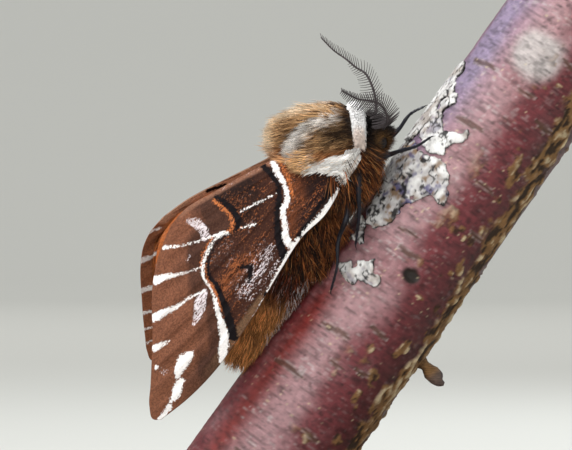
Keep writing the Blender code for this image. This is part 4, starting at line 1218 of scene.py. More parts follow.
def growTufts(name, roots, outs, lies, spread, changes, paint, slotName, draw):
    # Each tuft is a closed three-sided blade that rises by its lift and bends back to the lie
    style = coatStyle | changes
    count = len(roots)
    luck = draw.random(count)
    length = np.interp(draw.random(count), (0, 1), style["length"])
    if style["lengthAt"] is not None:
        length = length * style["lengthAt"]
    lies = unit(lies + style["tousle"] * draw.normal(size=(count, 3)))
    steep = np.sum(lies * outs, axis=1)
    lift = np.arcsin(np.clip(steep, 0.05, 0.98)) if style["lift"] is None else np.radians(style["lift"])
    lies = unit(lies - outs * steep[:, None])
    lift = lift + np.radians(style["stray"]) * draw.normal(size=count)
    droop = style["droop"]
    across = np.cross(lies, outs)
    curl = style["curl"] * draw.normal(size=count)
    direction = lies * np.cos(lift)[:, None] + outs * ((1 - droop) * np.sin(lift))[:, None]
    if style["trim"]:
        length = trimmed(roots, direction, length, coatOutlines[style["trim"]], draw)
    tips = roots + length[:, None] * direction
    owner, away = nearestClump(roots, max(1, int(count * style["clumps"])), draw)
    lock = 1 + style["locks"] * draw.normal(size=count)[owner]
    pull = style["clumping"] * (tips[owner] - tips) * smooth(*coat["reach"], away)[:, None]
    shares = np.array(style["rings"] + (1.0,))
    width = style["width"] * (0.75 + 0.5 * draw.random(count))
    offset = draw.normal(size=(count, 3)) * style["fleck"]
    dimmed = (lock * (1 + style["shades"] * draw.normal(size=count))).clip(0.35, 1.7)
    rings = []
    colours = []
    for share in shares:
        run = length * share - coat["sink"] * (1 - share)
        rise = np.sin(lift) * run * (1 - droop * share)
        middle = roots + lies * (np.cos(lift) * run)[:, None] + outs * rise[:, None]
        middle = middle + across * (curl * length * share**2)[:, None] + pull * share**2
        flat = width * np.interp(share, *coat["section"]) / 2
        turns = [math.radians(angle) for angle in coat["turns"]] if share < 1 else ()
        edges = [across * (math.cos(turn) * flat)[:, None] + outs
                 * (coat["flat"] * math.sin(turn) * flat)[:, None]
                 for turn in turns]
        rings += [middle + edge for edge in edges] or [middle]
        colours += [paint(middle + offset, np.full(count, share), luck)
                    * dimmed[:, None]] * max(len(turns), 1)
    points, colours = (np.stack(values, axis=1) for values in (rings, colours))
    sections = len(shares) - 1
    patch = coat["patch"] * np.stack([[0.5, 0.0, 1.0] * sections + [0.5],
                                      [*np.repeat(shares[:-1], 3), 1.0]], axis=1)
    face = bladeFaces(sections)
    parts = max(1, math.ceil(count / coat["most"]))
    for part in range(parts):
        chosen = np.arange(part, count, parts)
        faces = (face[None] + (np.arange(len(chosen)) * len(patch))[:, None, None]).reshape(-1, 3)
        label = name if parts == 1 else f"{name}_{part + 1}"
        piece = meshFrom(label, fromMoth(points[chosen].reshape(-1, 3)), faces, look=furFinish)
        giveColours(piece.data, "coat", colours[chosen].reshape(-1, 3))
        spots = 0.02 + 0.95 * spread[chosen][:, None] + patch[None]
        giveMap(piece.data, "OFBake", spots.reshape(-1, 2))
        finishPiece(piece, slotName)


def furLook():
    look, tree, shader = newLook("fur", Roughness=0.6, Specular_IOR_Level=0.12, Sheen_Weight=0.03,
                                 Sheen_Roughness=0.4)
    grain, height = addMottle(tree, 2500.0, 1.2)
    shadeTone(tree, shader, readLayer(tree, "coat"), rampNode(tree, grain, 0.0, 1.0, 0.82, 1.15))
    return look


def reshape(piece, places):
    piece.data.vertices.foreach_set("co", fromMoth(places).astype(np.float32).reshape(-1))


def addSkin(look):  # the cores as one closed surface, painted as the coat's roots
    selectNone()
    parts = []
    for middle, radii in (body["thorax"], body["head"]):
        bpy.ops.mesh.primitive_uv_sphere_add(segments=48, ring_count=24, radius=1)
        parts.append(bpy.context.object)
        reshape(parts[-1], pointsOf(parts[-1].data) * (np.array(radii) - body["skinDepth"]) + middle)
    bpy.ops.mesh.primitive_cylinder_add(vertices=32, radius=1, depth=2, end_fill_type="TRIFAN")
    parts.append(bpy.context.object)
    with editMode():
        bpy.ops.mesh.subdivide(number_cuts=1)
        for cut in np.linspace(-0.95, 0.95, 30):
            bpy.ops.mesh.select_all(action="SELECT")
            bpy.ops.mesh.bisect(plane_co=(0, 0, cut), plane_no=(0, 0, 1))
    x, y, z = pointsOf(parts[-1].data).T
    share = (z + 1) / 2
    path = abdomenPath(share)
    reach = abdomenRadius(share) - body["skinDepth"]
    path[:, 1] += reach * x
    path[:, 2] += reach * y
    reshape(parts[-1], path)
    shares = np.linspace(0, 1, 40)
    points, faces = sweep(collarPath(shares), collarRadius(shares) - body["skinDepth"], 16)
    parts.append(meshFrom("collar core", fromMoth(points), outwardFaces(fromMoth(points), faces), look))
    selectNone()
    for part in parts:
        part.select_set(True)
    bpy.context.view_layer.objects.active = parts[0]
    bpy.ops.object.join()
    skin = named("body_skin")
    with editMode():
        bpy.ops.mesh.normals_make_consistent(inside=False)
    applied(skin, "REMESH", mode="VOXEL", voxel_size=body["voxel"] * mm)
    applied(skin, "SMOOTH", iterations=6)
    shadeSmooth()
    places = toMoth(pointsOf(skin.data))
    f, u, r = places.T
    share = np.full(len(f), 0.5)
    luck = smoothNoise(places, 0.4, 61)
    colour = thoraxPaint(places, share, luck)
    for paint, mask in ((abdomenPaint, smooth(-3, -5, f)),
                        (chestPaint, smooth(-4, -3, f) * smooth(0.6, -0.6, u)),
                        (headPaint, smooth(4.4, 5.0, f) * smooth(2, 1, u))):
        colour = blendColours(colour, paint(places, share, luck), mask)
    collarReach = np.min([np.linalg.norm(places - spot, axis=1) for spot in collarPath(shares)], axis=0)
    onCollar = collarReach < max(body["collarRadii"]) + 0.1
    # painted shade: the skin under the coat a little darker than the hair, except on the collar
    giveColours(skin.data, "coat", blendColours(colour * 0.9, tint["white"], onCollar))
    skin.data.materials.clear()
    skin.data.materials.append(look)
    return finishPiece(skin, "thorax_fur", "thorax", "abdomen", "head")


furFinish = furLook()
addSkin(furFinish)


def mirrored(places):  # +1 on the right side, -1 on the left
    return np.where(places[:, 2] >= 0, 1.0, -1.0)


def keepWhere(mask, *values):
    return tuple(value[mask] for value in values)


def aimed(forward, up, right):  # one direction for each root
    return np.stack(np.broadcast_arrays(forward, up, right), axis=1).astype(float)


def addThoraxCoat():
    draw = np.random.default_rng(11)
    roots, outs, backs, spread = ovalRoots(body["thorax"], 21000, (10, 140), (-84, 84), draw)
    free = (insideOutline(sideView(roots), coatOutlines["tegula"]) < 4) | (np.abs(roots[:, 2]) < 1.5)
    roots, outs, spread = keepWhere(free, roots, outs, spread)
    f, u, r = roots.T
    aims = aimed(np.interp(f, (-2, 1, 4), (-0.45, -0.55, -0.55)),
                 np.interp(f, (-2, 1), (0.6, 0.85)), 0.09 * r)
    style = {"length": (2.6, 4.6), "stray": 6, "tousle": 0.13, "clumping": 0.5, "droop": 0.12,
             "shades": 0.36,
             "locks": 0.2, "trim": "thorax"}
    growTufts("coat_back", roots, outs, aims, spread, style, thoraxPaint, "thorax_fur", draw)

    roots, outs, backs, spread = ovalRoots(body["thorax"], 12500, (22, 158), (84, 276), draw)
    f = roots[:, 0]
    aims = aimed(np.interp(f, (-3, 0, 2, 4), (-0.95, -0.8, -0.6, -0.1)),
                 -np.interp(f, (-3, 0, 2, 4), (0.4, 0.6, 0.85, 0.9)), 0.22 * mirrored(roots))
    style = {"length": (2.0, 4.6), "stray": 12, "tousle": 0.28, "clumps": 0.03, "clumping": 0.55,
             "droop": 0.1,
             "shades": 0.5, "locks": 0.38, "curl": 0.14, "trim": "chest"}
    growTufts("coat_chest", roots, outs, aims, spread, style, chestPaint, "thorax_fur", draw)
    for side, turns in (("right", (50, 175)), ("left", (185, 310))):
        roots, outs, backs, spread = tubeRoots(abdomenPath, abdomenRadius, 3200, (0.0, 0.36), turns, draw)
        aims = aimed(-0.8, -0.5, 0.3 * mirrored(roots)) + 0.3 * outs
        style = {"length": (2.0, 4.4), "stray": 12, "tousle": 0.26, "clumps": 0.04, "clumping": 0.6,
                 "droop": 0.15, "shades": 0.45, "locks": 0.38, "curl": 0.14}
        growTufts("coat_skirt_" + side, roots, outs, aims, spread, style, chestPaint, "abdomen_fur", draw)
    for side, sign in (("right", 1), ("left", -1)):
        addShoulder(side, sign, draw)

    roots, outs, backs, spread = tubeRoots(collarPath, collarRadius, 11000, (0, 1), (0, 360), draw,
                                           (1, 0.6, 0))
    aims = -0.75 * backs * mirrored(roots)[:, None] + np.array((0.2, -0.1, 0)) + 0.28 * outs
    style = {"length": (0.35, 0.7), "width": 0.10, "stray": 4, "tousle": 0.1, "clumping": 0.15,
             "fleck": 0.05,
             "droop": 0.5, "shades": 0.03, "locks": 0.02, "trim": "collar", "rings": coat["fewRings"]}
    spread = ovalSpread(body["thorax"], roots)
    growTufts("coat_collar", roots, outs, aims, spread, style, collarPaint, "thorax_fur", draw)


def addShoulder(side, sign, draw):  # the tegula, and the white hair under it at the wing's base
    centre = 62 * sign
    roots, outs, backs, spread = ovalRoots(body["thorax"], 15000, (14, 110),
                                           (centre - 50, centre + 50), draw)
    inside = insideOutline(sideView(roots), coatOutlines["tegula"]) > -1
    roots, outs, spread = keepWhere(inside, roots, outs, spread)
    roots = roots + 0.5 * outs
    bend = 0.004 * (sideView(roots)[:, 1] - 130)
    aims = aimed(-0.74 + bend, 0.66 - bend, 0.16 * sign) + 0.18 * outs
    style = {"length": (1.9, 3.1), "stray": 6, "tousle": 0.11, "clumps": 0.03, "clumping": 0.6,
             "droop": 0.2,
             "shades": 0.34, "locks": 0.2, "trim": "tegula", "rings": coat["fewRings"]}
    growTufts("coat_tegula_" + side, roots, outs, aims, spread, style, tegulaPaint, "thorax_fur", draw)
    for patch, count, aim, lengths, paint in (
            ("wingBase", 3200, (-0.70, 0.66, 0.10), (1.0, 2.0), whitePaint),
            ("wisps", 800, (-0.85, 0.1, 0.12), (1.0, 2.2), wispPaint)):
        outline = np.array(coatOutlines[patch], float)
        low, high = outline.min(axis=0), outline.max(axis=0)
        spots = low + (high - low) * draw.random((4 * count, 2))
        spots = spots[insideOutline(spots, outline) > 0][:count]
        roots = inSideView(spots, 4.55 + 0.25 * draw.random(len(spots))) * (1, 1, sign)
        outs = unit(np.repeat(np.array([[0.05, 0.1, 0.99 * sign]]), len(roots), 0))
        aims = np.repeat(np.array([aim]) * (1, 1, sign), len(roots), 0)
        style = {"length": lengths, "stray": 5, "tousle": 0.12, "clumping": 0.5, "droop": 0.2, "fleck": 0.1,
                 "shades": 0.1, "trim": patch, "rings": coat["fewRings"]}
        spread = ovalSpread(body["thorax"], roots)
        growTufts(f"coat_{patch}_{side}", roots, outs, aims, spread, style, paint, "thorax_fur", draw)


def addHeadCoat():
    draw = np.random.default_rng(12)
    roots, outs, backs, spread = ovalRoots(body["head"], 4200, (4, 140), (0, 360), draw)
    eyeMiddle, eyeRadius = body["eye"]
    clear = np.ones(len(roots), bool)
    for sign in (1, -1):
        clear &= np.linalg.norm(roots - np.array(eyeMiddle) * (1, 1, sign), axis=1) > eyeRadius - 0.25
    roots, outs, spread = keepWhere(clear, roots, outs, spread)
    aims = np.array((0.55, -0.35, 0.0)) + 0.75 * outs
    style = {"length": (0.9, 1.6), "width": 0.085, "tousle": 0.2, "fleck": 0.1, "droop": 0.2,
             "shades": 0.25,
             "rings": coat["fewRings"]}
    growTufts("coat_head", roots, outs, aims, spread, style, headPaint, "head_fur", draw)


def addAbdomenCoat():
    draw = np.random.default_rng(13)
    roots, outs, backs, spread = tubeRoots(abdomenPath, abdomenRadius, 14000, (0.03, 0.93), (0, 360), draw)
    aims = backs + 0.42 * outs - np.array((0, 0.18, 0))
    style = {"length": (1.7, 3.2), "stray": 9, "tousle": 0.24, "clumps": 0.03, "clumping": 0.55,
             "droop": 0.35,
             "shades": 0.5, "locks": 0.3, "curl": 0.14}
    growTufts("coat_abdomen", roots, outs, aims, spread, style, abdomenPaint, "abdomen_fur", draw)
    for side, sign in (("right", 1), ("left", -1)):
        turns = (112 * sign, 168 * sign)
        roots, outs, backs, spread = tubeRoots(abdomenPath, abdomenRadius, 1200, (0.3, 0.95), turns, draw)
        aims = 0.75 * backs + 0.55 * outs - np.array((0, 0.45, 0))
        style = {"length": (1.8, 3.5), "width": 0.08, "stray": 9, "tousle": 0.24, "clumps": 0.05,
                 "clumping": 0.5, "droop": 0.5, "shades": 0.12, "curl": 0.16}
        growTufts("coat_fringe_" + side, roots, outs, aims, spread, style, fringePaint, "abdomen_fur", draw)
    roots, outs, backs, spread = tubeRoots(abdomenPath, abdomenRadius, 3600, (0.82, 0.99), (0, 360), draw)
    aims = backs + 0.2 * outs - np.array((0, 0.1, 0))
    style = {"length": (2.2, 4.2), "width": 0.10, "stray": 8, "tousle": 0.16, "clumps": 0.03,
             "clumping": 0.6,
             "droop": 0.3, "shades": 0.4, "locks": 0.25}
    growTufts("coat_tail", roots, outs, aims, spread, style, abdomenPaint, "abdomen_fur", draw)


addThoraxCoat()
addHeadCoat()
addAbdomenCoat()
print("body and coat done")

# Feelers, eyes and legs
feelers = {
    "right": (
        (4.0, -0.6, 0.7), (4.6, -1.1, 0.9), (5.5, -1.0, 1.6), (6.7, -0.6, 2.4), (7.5, 0.3, 3.0),
        (7.9, 1.4, 3.5), (7.7, 2.5, 3.9), (7.4, 3.5, 4.2), (7.4, 4.7, 4.6), (7.5, 5.7, 5.0),
    ),
    "left": (
        (4.4, 0.4, -0.7), (5.3, -0.4, -1.2), (6.2, -0.2, -1.8), (7.3, 0.5, -2.4), (8.2, 1.5, -2.8),
        (8.7, 2.4, -3.1), (8.7, 3.4, -3.4), (8.9, 4.7, -3.7), (9.0, 6.1, -4.0), (9.5, 8.0, -4.3),
    ),
    "rows": {  # the rami's lie near the head, their lie at the tip, and their lengths along the shaft
        "right": (
            ((0.85, -0.53, 0.15), (0.83, 0.52, 0.1), (1.2, 1.6, 1.4, 0.7, 0.3)),
            ((-0.78, 0.69, 0.25), (-0.92, -0.2, 0.2), (1.4, 1.8, 1.7, 1.1, 0.4)),
        ),
        "left": (
            ((0.85, -0.53, 0.1), (0.82, 0.56, 0.1), (0.9, 1.1, 1.2, 1.1, 0.5)),
            ((-0.78, 0.69, 0.1), (-0.9, 0.0, 0.1), (1.1, 1.4, 1.0, 0.0, 0.0)),
        ),
    },
    "shaft": 0.13,
    "rami": {"right": 42, "left": 40},
    "width": {"right": 0.105, "left": 0.065},
}
legs = {
    "radii": (0.32, 0.28, 0.20, 0.16, 0.13),
    "lift": 0.62,
    "hairs": 900,
    "hair": (26, 23, 28),
    "thighHair": (112, 78, 52),
    "routes": {
        "foreleg_right": (
            ((2.6, -0.6, 2.2), (3.0, -1.6, 3.6), (3.7, -2.4, 3.2), (4.6, -3.5, 2.6), (5.5, -4.7, 2.0)),
            (34.6, 46),
        ),
        "midleg_right": (
            ((0.8, -0.8, 2.4), (0.6, -0.6, 4.4), (-0.8, -1.4, 4.9), (-3.0, -2.8, 4.5)), (21.3, 47),
        ),
        "hindleg_right": (
            ((-1.4, -0.4, 2.2), (-3.2, -1.6, 4.4), (-6.3, -2.2, 5.2), (-8.4, -3.3, 5.6)), (16.1, 53),
        ),
        "foreleg_left": (
            ((2.6, -0.6, -2.2), (3.2, -2.6, -2.8), (5.0, -3.7, -3.2), (6.8, -3.9, -3.4)), (37.0, -6),
        ),
        "midleg_left": (
            ((0.8, -0.8, -2.4), (0.6, -1.4, -4.4), (-0.8, -2.4, -5.2), (-3.0, -3.6, -5.0)), (21.5, -24),
        ),
        "hindleg_left": (
            ((-1.4, -0.4, -2.2), (-3.4, -1.4, -4.6), (-6.3, -2.0, -5.0), (-8.6, -2.8, -4.8)),
            (15.6, -24),
        ),
    },
}


def rootRoom(start, aim, length):  # how far a ramus reaches before the hair of the head or thorax
    rooms = ((body["head"][0], body["head"][1][0] + 0.7), (body["thorax"][0], body["thorax"][1][0] + 1.2))
    for reach in np.arange(0.1, length, 0.1):
        spot = start + aim * reach
        if any(np.linalg.norm(spot - middle) < room for middle, room in rooms):
            return reach - 0.1
    return length


def addFeeler(side, look):
    path = curveThrough(feelers[side])
    shares = np.linspace(0, 1, 60)
    rami, thick = feelers["rami"][side], feelers["width"][side]
    knots = 1 + 0.10 * np.cos(shares * 2 * math.pi * rami)
    radii = feelers["shaft"] * (1.25 - 0.75 * shares) * knots
    radii[-1] = 0.03
    parts = [sweep(path(shares), radii, 8)]
    draw = np.random.default_rng(5)
    for first, last, lengths in feelers["rows"][side]:
        for k in range(rami):
            share = 0.10 + 0.89 * k / (rami - 1)
            lie = np.array(first) + (np.array(last) - first) * smooth(0.2, 0.75, share)
            root = path(share)[0]
            along = (path(min(share + 0.01, 1)) - path(share - 0.01))[0]
            along /= np.linalg.norm(along)
            aim = lie / np.linalg.norm(lie) + 0.25 * along + 0.03 * draw.normal(size=3)
            aim /= np.linalg.norm(aim)
            length = np.interp(share, (0.1, 0.3, 0.5, 0.75, 1), lengths) * (1 + 0.04 * draw.normal())
            length = rootRoom(root, aim, length)
            if length < 0.25:
                continue
            run = np.linspace(0, 1, 7)
            bow = 0.16 * length * run**2
            line = root + np.outer(run * length, aim) + np.outer(bow, along)
            width = thick * (1 - 0.6 * run)
            parts.append(sweep(line, width, 4, 0.7, along))
    points, faces = joined(parts)
    solid = fromMoth(points)
    piece = meshFrom(f"antenna_{side}_plume", solid, outwardFaces(solid, faces), look)
    return finishPiece(piece, "antenna", "antenna_" + side)


def chitinLook(name, tone, edge, rough):
    look, tree, shader = newLook(name, Roughness=rough, Specular_IOR_Level=0.3)
    grain, height = addMottle(tree, 1800.0, 1.6)
    tree.links.new(mixColour(tree, grain, opaque(tone), opaque(edge)), shader.inputs["Base Color"])
    addBump(tree, shader, height, 0.4, 0.02)
    return look


def eyeLook():
    look, tree, shader = newLook("eye", Roughness=0.4, Specular_IOR_Level=0.25, Coat_Weight=0.08,
                                 Coat_Roughness=0.25)
    place = objectPlace(tree)
    cells = addNode(tree, "TexVoronoi", {"feature": "DISTANCE_TO_EDGE"}, Vector=place, Scale=16000.0)
    rim = rampNode(tree, cells.outputs["Distance"], 0.02, 0.12)
    colour = mixColour(tree, rim, (0.020, 0.015, 0.012, 1), (0.005, 0.004, 0.004, 1))
    tree.links.new(colour, shader.inputs["Base Color"])
    addBump(tree, shader, rim, 0.3, 0.01)
    return look


def addEye(side, look):
    middle, radius = body["eye"]
    place = np.array(middle) * (1, 1, 1 if side == "right" else -1)
    selectNone()
    bpy.ops.mesh.primitive_ico_sphere_add(subdivisions=5, radius=radius * mm, location=fromMoth(place))
    eye = named(f"eye_{side}_globe")
    bpy.ops.object.transform_apply(location=True)
    shadeSmooth()
    eye.data.materials.append(look)
    return finishPiece(eye, "eye", "eye_" + side)


def addLeg(name, look):  # a leg with its joints, tarsus and claws, then its hair
    joints, (along, angle) = legs["routes"][name]
    foot = toMoth(fromBranch(along, angle, branchRadius(along) + legs["lift"]))
    shares = np.linspace(0, 1, 70)
    line = curveThrough([*joints, foot])(shares)
    radii = spread01(legs["radii"], shares)
    rings = 0.5 + 0.5 * np.cos(2 * math.pi * 5 * (shares - 0.62) / 0.38)
    radii = radii * (1 - 0.22 * rings * smooth(0.6, 0.64, shares))
    knee, ankle = np.exp(-((shares - 0.34) / 0.03) ** 2), np.exp(-((shares - 0.62) / 0.02) ** 2)
    radii = radii * (1 + 0.25 * knee + 0.2 * ankle)
    radii[-1] *= 0.5
    parts = [sweep(line, radii, 12)]
    end, aim = line[-1], line[-1] - line[-4]
    aim = aim / np.linalg.norm(aim)
    wide = np.cross(aim, (0, 1, 0.2))
    wide /= np.linalg.norm(wide)
    for sign in (1, -1):
        run = np.linspace(0, 1, 6)
        claw = end + np.outer(run * 0.42, aim) + np.outer(0.22 * sign * run, wide)
        parts.append(sweep(claw - np.outer(0.20 * run**2, (0, 1, 0)), 0.06 * (1 - 0.85 * run), 6))
    points, faces = joined(parts)
    solid = fromMoth(points)
    piece = meshFrom(name + "_shell", solid, outwardFaces(solid, faces), look)
    finishPiece(piece, "leg", name)
    addLegHair(name, line, radii)


def addLegHair(name, line, radii):
    draw = np.random.default_rng(len(name))
    count = legs["hairs"]
    at = (draw.random(count) ** 1.2) * 0.95
    index = (at * (len(line) - 1)).astype(int)
    steps = unit(np.gradient(line, axis=0))[index]
    turn = 2 * math.pi * draw.random(count)
    first = unit(np.cross(steps, (0.3, 0.2, 0.93)))
    outs = first * np.cos(turn)[:, None] + np.cross(steps, first) * np.sin(turn)[:, None]
    roots = line[index] + outs * (radii[index] * 0.9)[:, None]
    style = {"length": (0.4, 0.8), "lengthAt": 1.5 - 1.15 * smooth(0.1, 0.65, at), "lift": 24,
             "width": 0.055,
             "stray": 8, "fleck": 0.05, "rings": coat["fewRings"]}

    def paint(places, share, luck):
        colour = plain(linear(legs["hair"]), len(places))
        return blendColours(colour, linear(legs["thighHair"]),
                            smooth(0.45, 0.1, at) * smooth(0.2, 0.9, share))

    spread = np.stack([turn / (2 * math.pi), at], axis=1)
    growTufts(name + "_hair", roots, outs, steps, spread, style, paint, "leg", draw)


plumeLook = chitinLook("antenna chitin", (44, 38, 38), (82, 74, 76), 0.55)
legLook = chitinLook("leg chitin", (10, 10, 15), (30, 30, 42), 0.42)
globeLook = eyeLook()
for side in ("right", "left"):
    addFeeler(side, plumeLook)
    addEye(side, globeLook)
for name in legs["routes"]:
    addLeg(name, legLook)
print("feelers, eyes and legs done")

# Branch: smooth red bark with lenticels, a crusty ridge, lichen and a spur
bark = {
    "cells": (280, 300),
    "cap": 0.035,
    "relief": 0.14,
    "lenticels": (  # along, first and last degrees, width in mm
        (15.4, 94, 114, 0.42), (13.1, 58, 88, 0.5), (11.2, 103, 119, 0.4), (10.4, 83, 97, 0.36),
        (25.4, 66, 85, 0.4), (23.8, 75, 97, 0.42), (7.3, 41, 74, 0.55), (43.8, 26, 56, 0.5),
        (37.9, 50, 80, 0.5), (41.9, 109, 131, 0.5), (43.6, 81, 100, 0.4), (33.5, 96, 118, 0.4),
        (29.0, 118, 136, 0.4), (3.0, 96, 116, 0.45), (-2.5, 60, 84, 0.5), (48.5, 98, 120, 0.45),
        (18.5, 205, 232, 0.45), (8.0, 250, 276, 0.45), (30.0, 222, 246, 0.4), (40.0, 280, 306, 0.45),
        (-3.0, 300, 330, 0.5), (24.0, 312, 334, 0.4), (36.0, 180, 204, 0.4), (2.0, 190, 214, 0.45),
    ),
    "scar": (22.0, 99, 1.1),
    "spur": (
        (5.0, 15.4), (7.0, 15.4), (7.9, 15.3), (8.7, 15.1), (9.4, 14.9), (10.0, 14.8), (10.4, 14.9),
    ),
    "spurRadii": (1.5, 1.15, 0.85, 0.55, 0.85, 0.75, 0.2),
}
barkTints = {
    "crimson": (122, 52, 58),
    "pinkGrey": (176, 136, 140),
    "violet": (154, 142, 172),
    "darkRed": (78, 32, 32),
    "deepRed": (140, 36, 26),
    "brownRed": (120, 66, 50),
    "crust": (138, 102, 62),
    "crustDark": (34, 23, 16),
    "cream": (222, 204, 166),
    "pale": (200, 190, 188),
    "lip": (168, 152, 148),
    "slit": (84, 58, 44),
    "wood": (206, 176, 134),
    "woodDark": (166, 130, 90),
    "bud": (96, 84, 82),
}
barkTint = linearTints(barkTints)


def angleGap(angle, middle):  # degrees between, the short way round
    return (angle - middle + 180) % 360 - 180


def crustLine(along):  # the angle of the crusty ridge, which wanders up the branch
    return np.interp(along, (-7, 7, 12, 17, 24, 30, 36, 42, 54),
                     (150, 156, 154, 162, 155, 149, 151, 138, 132))


def barkSurface(along, angle):  # height over the plain round branch, colour and crust at each place
    places = np.stack([np.cos(np.radians(angle)) * 7, np.sin(np.radians(angle)) * 7, along], axis=1)
    height = 1.2 * bark["relief"] * (layeredNoise(places, 5.0, 31) - 0.5)
    rings = layeredNoise(np.c_[places[:, :2] * 0.35, along * 2.6], 1.0, 32)
    flecks = layeredNoise(np.c_[places[:, :2] * 0.55, along * 1.6], 0.34, 40, 3)
    height += 0.05 * (rings - 0.5) + 0.04 * (flecks - 0.5)
    cloud = layeredNoise(places * (1, 1, 0.75), 3.4, 33, 4)
    patchy = smooth(0.38, 0.62, layeredNoise(places, 1.9, 41, 3))
    fine = layeredNoise(np.c_[places[:, :2] * 0.5, along * 2.2], 0.5, 34)
    colour = plain(barkTint["crimson"], len(along))
    facing = np.exp(-(angleGap(angle, 66) / 34) ** 2)
    colour = blendColours(colour, barkTint["pinkGrey"],
                          smooth(0.32, 0.78, facing * 0.62 + cloud * 0.75 - 0.16))
    # painted shade: darker red over the lower front of the branch
    shade = smooth(95, 150, angle) * (1 - smooth(175, 200, angle))
    colour = blendColours(colour, barkTint["darkRed"], np.clip(shade * (0.35 + cloud), 0, 0.9))
    # painted reflection: a violet-grey sky highlight along the upper side of the branch, further up it
    lit = np.exp(-(angleGap(angle, 28) / 24) ** 2)
    colour = blendColours(colour, barkTint["violet"],
                          np.clip(lit * smooth(24, 40, along) * (0.5 + cloud), 0, 0.85))
    # painted shade: a deep red glow on the bark near the moth, in the shade of its abdomen
    glow = np.exp(-(angleGap(angle, 46) / 13) ** 2) * smooth(20, 14, along)
    colour = blendColours(colour, barkTint["deepRed"], np.clip(glow * (0.55 + 0.6 * cloud), 0, 0.95))
    scrape = np.exp(-((along - 47.2) / 3.2) ** 2 - (angleGap(angle, 78) / 27) ** 2)
    colour = blendColours(colour, barkTint["pale"], smooth(0.3, 0.75, scrape * (0.5 + cloud)))
    behind = smooth(168, 190, angle) * smooth(335, 300, angle)
    colour = blendColours(colour, barkTint["brownRed"], behind * 0.75)
    colour = blendColours(colour, colour * 0.55, smooth(0.45, 0.75, fine))
    # fewer of these dark flecks under the painted reflection
    colour = blendColours(colour, colour * 0.35, smooth(0.56, 0.72, flecks) * (0.25 + 0.6 * patchy)
                          * (1 - 0.5 * lit))
    pale = smooth(0.40, 0.26, flecks) * (0.10 + 0.45 * facing * (1 - patchy))
    colour = blendColours(colour, barkTint["pale"], pale)
    away = angleGap(angle, crustLine(along)) * math.pi / 180 * 7
    ragged = layeredNoise(places, 1.1, 35)
    crust = smooth(1.9, 1.1, np.abs(away) + 3.4 * (ragged - 0.5))
    crust = np.maximum(crust, smooth(0.62, 0.68, layeredNoise(places, 1.5, 36)) * smooth(75, 115, angle)
                       * smooth(320, 280, angle) * 0.9)
    flaky = layeredNoise(places * (1, 1, 0.6), 0.6, 37)
    crustColour = plain(barkTint["crust"], len(along))
    crustColour = layered(
        crustColour, barkTint,
        ("crustDark", smooth(0.46, 0.38, flaky) * 0.9),
        ("cream", smooth(0.56, 0.70, flaky) * 0.8),
    )
    colour = blendColours(colour, crustColour, crust)
    height += crust * (0.06 + 0.6 * (flaky - 0.42))
    for middle, first, last, width in bark["lenticels"]:
        reach = angleGap(angle, (first + last) / 2) / ((last - first) / 2)
        bend = 0.12 * np.sin(reach * 2.2 + middle)
        across = (along - middle - bend) / (0.75 * width * np.sqrt(np.clip(1 - reach**2, 0.02, 1)))
        across += 1.2 * (fine - 0.5)
        inside = np.where(np.abs(reach) < 1, 1 - across**2, -1)
        lip = smooth(-0.6, 0.3, inside) * smooth(0.9, 0.25, inside)
        height += 0.10 * lip - 0.05 * smooth(0.35, 0.9, inside)
        colour = blendColours(colour, barkTint["lip"], lip * 0.6)
        colour = blendColours(colour, barkTint["slit"], smooth(0.3, 0.8, inside) * 0.8)
    middle, turn, width = bark["scar"]
    reach = np.hypot((along - middle) / 0.8, angleGap(angle, turn) * 0.122 / width)
    colour = blendColours(colour, barkTint["crustDark"], smooth(1.1, 0.7, reach + 0.6 * (ragged - 0.5)))
    height += 0.12 * smooth(1.5, 1.1, reach) * smooth(0.7, 1.0, reach) - 0.2 * smooth(0.9, 0.4, reach)
    pores = smooth(0.80, 0.9, layeredNoise(places, 0.42, 38, 2)) * (1 - crust)
    colour = blendColours(colour, barkTint["crustDark"], pores * 0.55)
    specks = smooth(0.78, 0.86, layeredNoise(places * (1, 1, 1.6), 0.36, 39, 2)) * (1 - crust)
    colour = blendColours(colour, barkTint["cream"], specks * 0.55)
    return height, colour * 0.9, crust


def barkLook():
    look, tree, shader = newLook("bark", Specular_IOR_Level=0.35)
    crust = readLayer(tree, "crust", "Fac")
    place = addNode(tree, "UVMap", {"uv_map": "barkMap"}).outputs[0]
    streaks = addNode(tree, "Mapping", Vector=place, Scale=(0.5, 5.0, 1.0)).outputs[0]
    lines = addNode(tree, "TexNoise", {"noise_dimensions": "2D"}, Vector=streaks, Scale=2.2, Detail=5.0)
    grain, height = addMottle(tree, 1400.0, 1.6)
    shade = mathNode(tree, "MULTIPLY", rampNode(tree, lines.outputs["Fac"], 0.32, 0.68, 0.62, 1.3),
                     rampNode(tree, grain, 0.0, 1.0, 0.66, 1.24))
    shadeTone(tree, shader, readLayer(tree, "bark"), shade)
    rough = mathNode(tree, "ADD", rampNode(tree, crust, 0.0, 1.0, 0.50, 0.85),
                     rampNode(tree, grain, 0.0, 1.0, -0.06, 0.08))
    tree.links.new(rough, shader.inputs["Roughness"])
    height = mathNode(tree, "ADD", mathNode(tree, "MULTIPLY", lines.outputs["Fac"], 0.7), height)
    addBump(tree, shader, height, 0.45, 0.05)
    return look


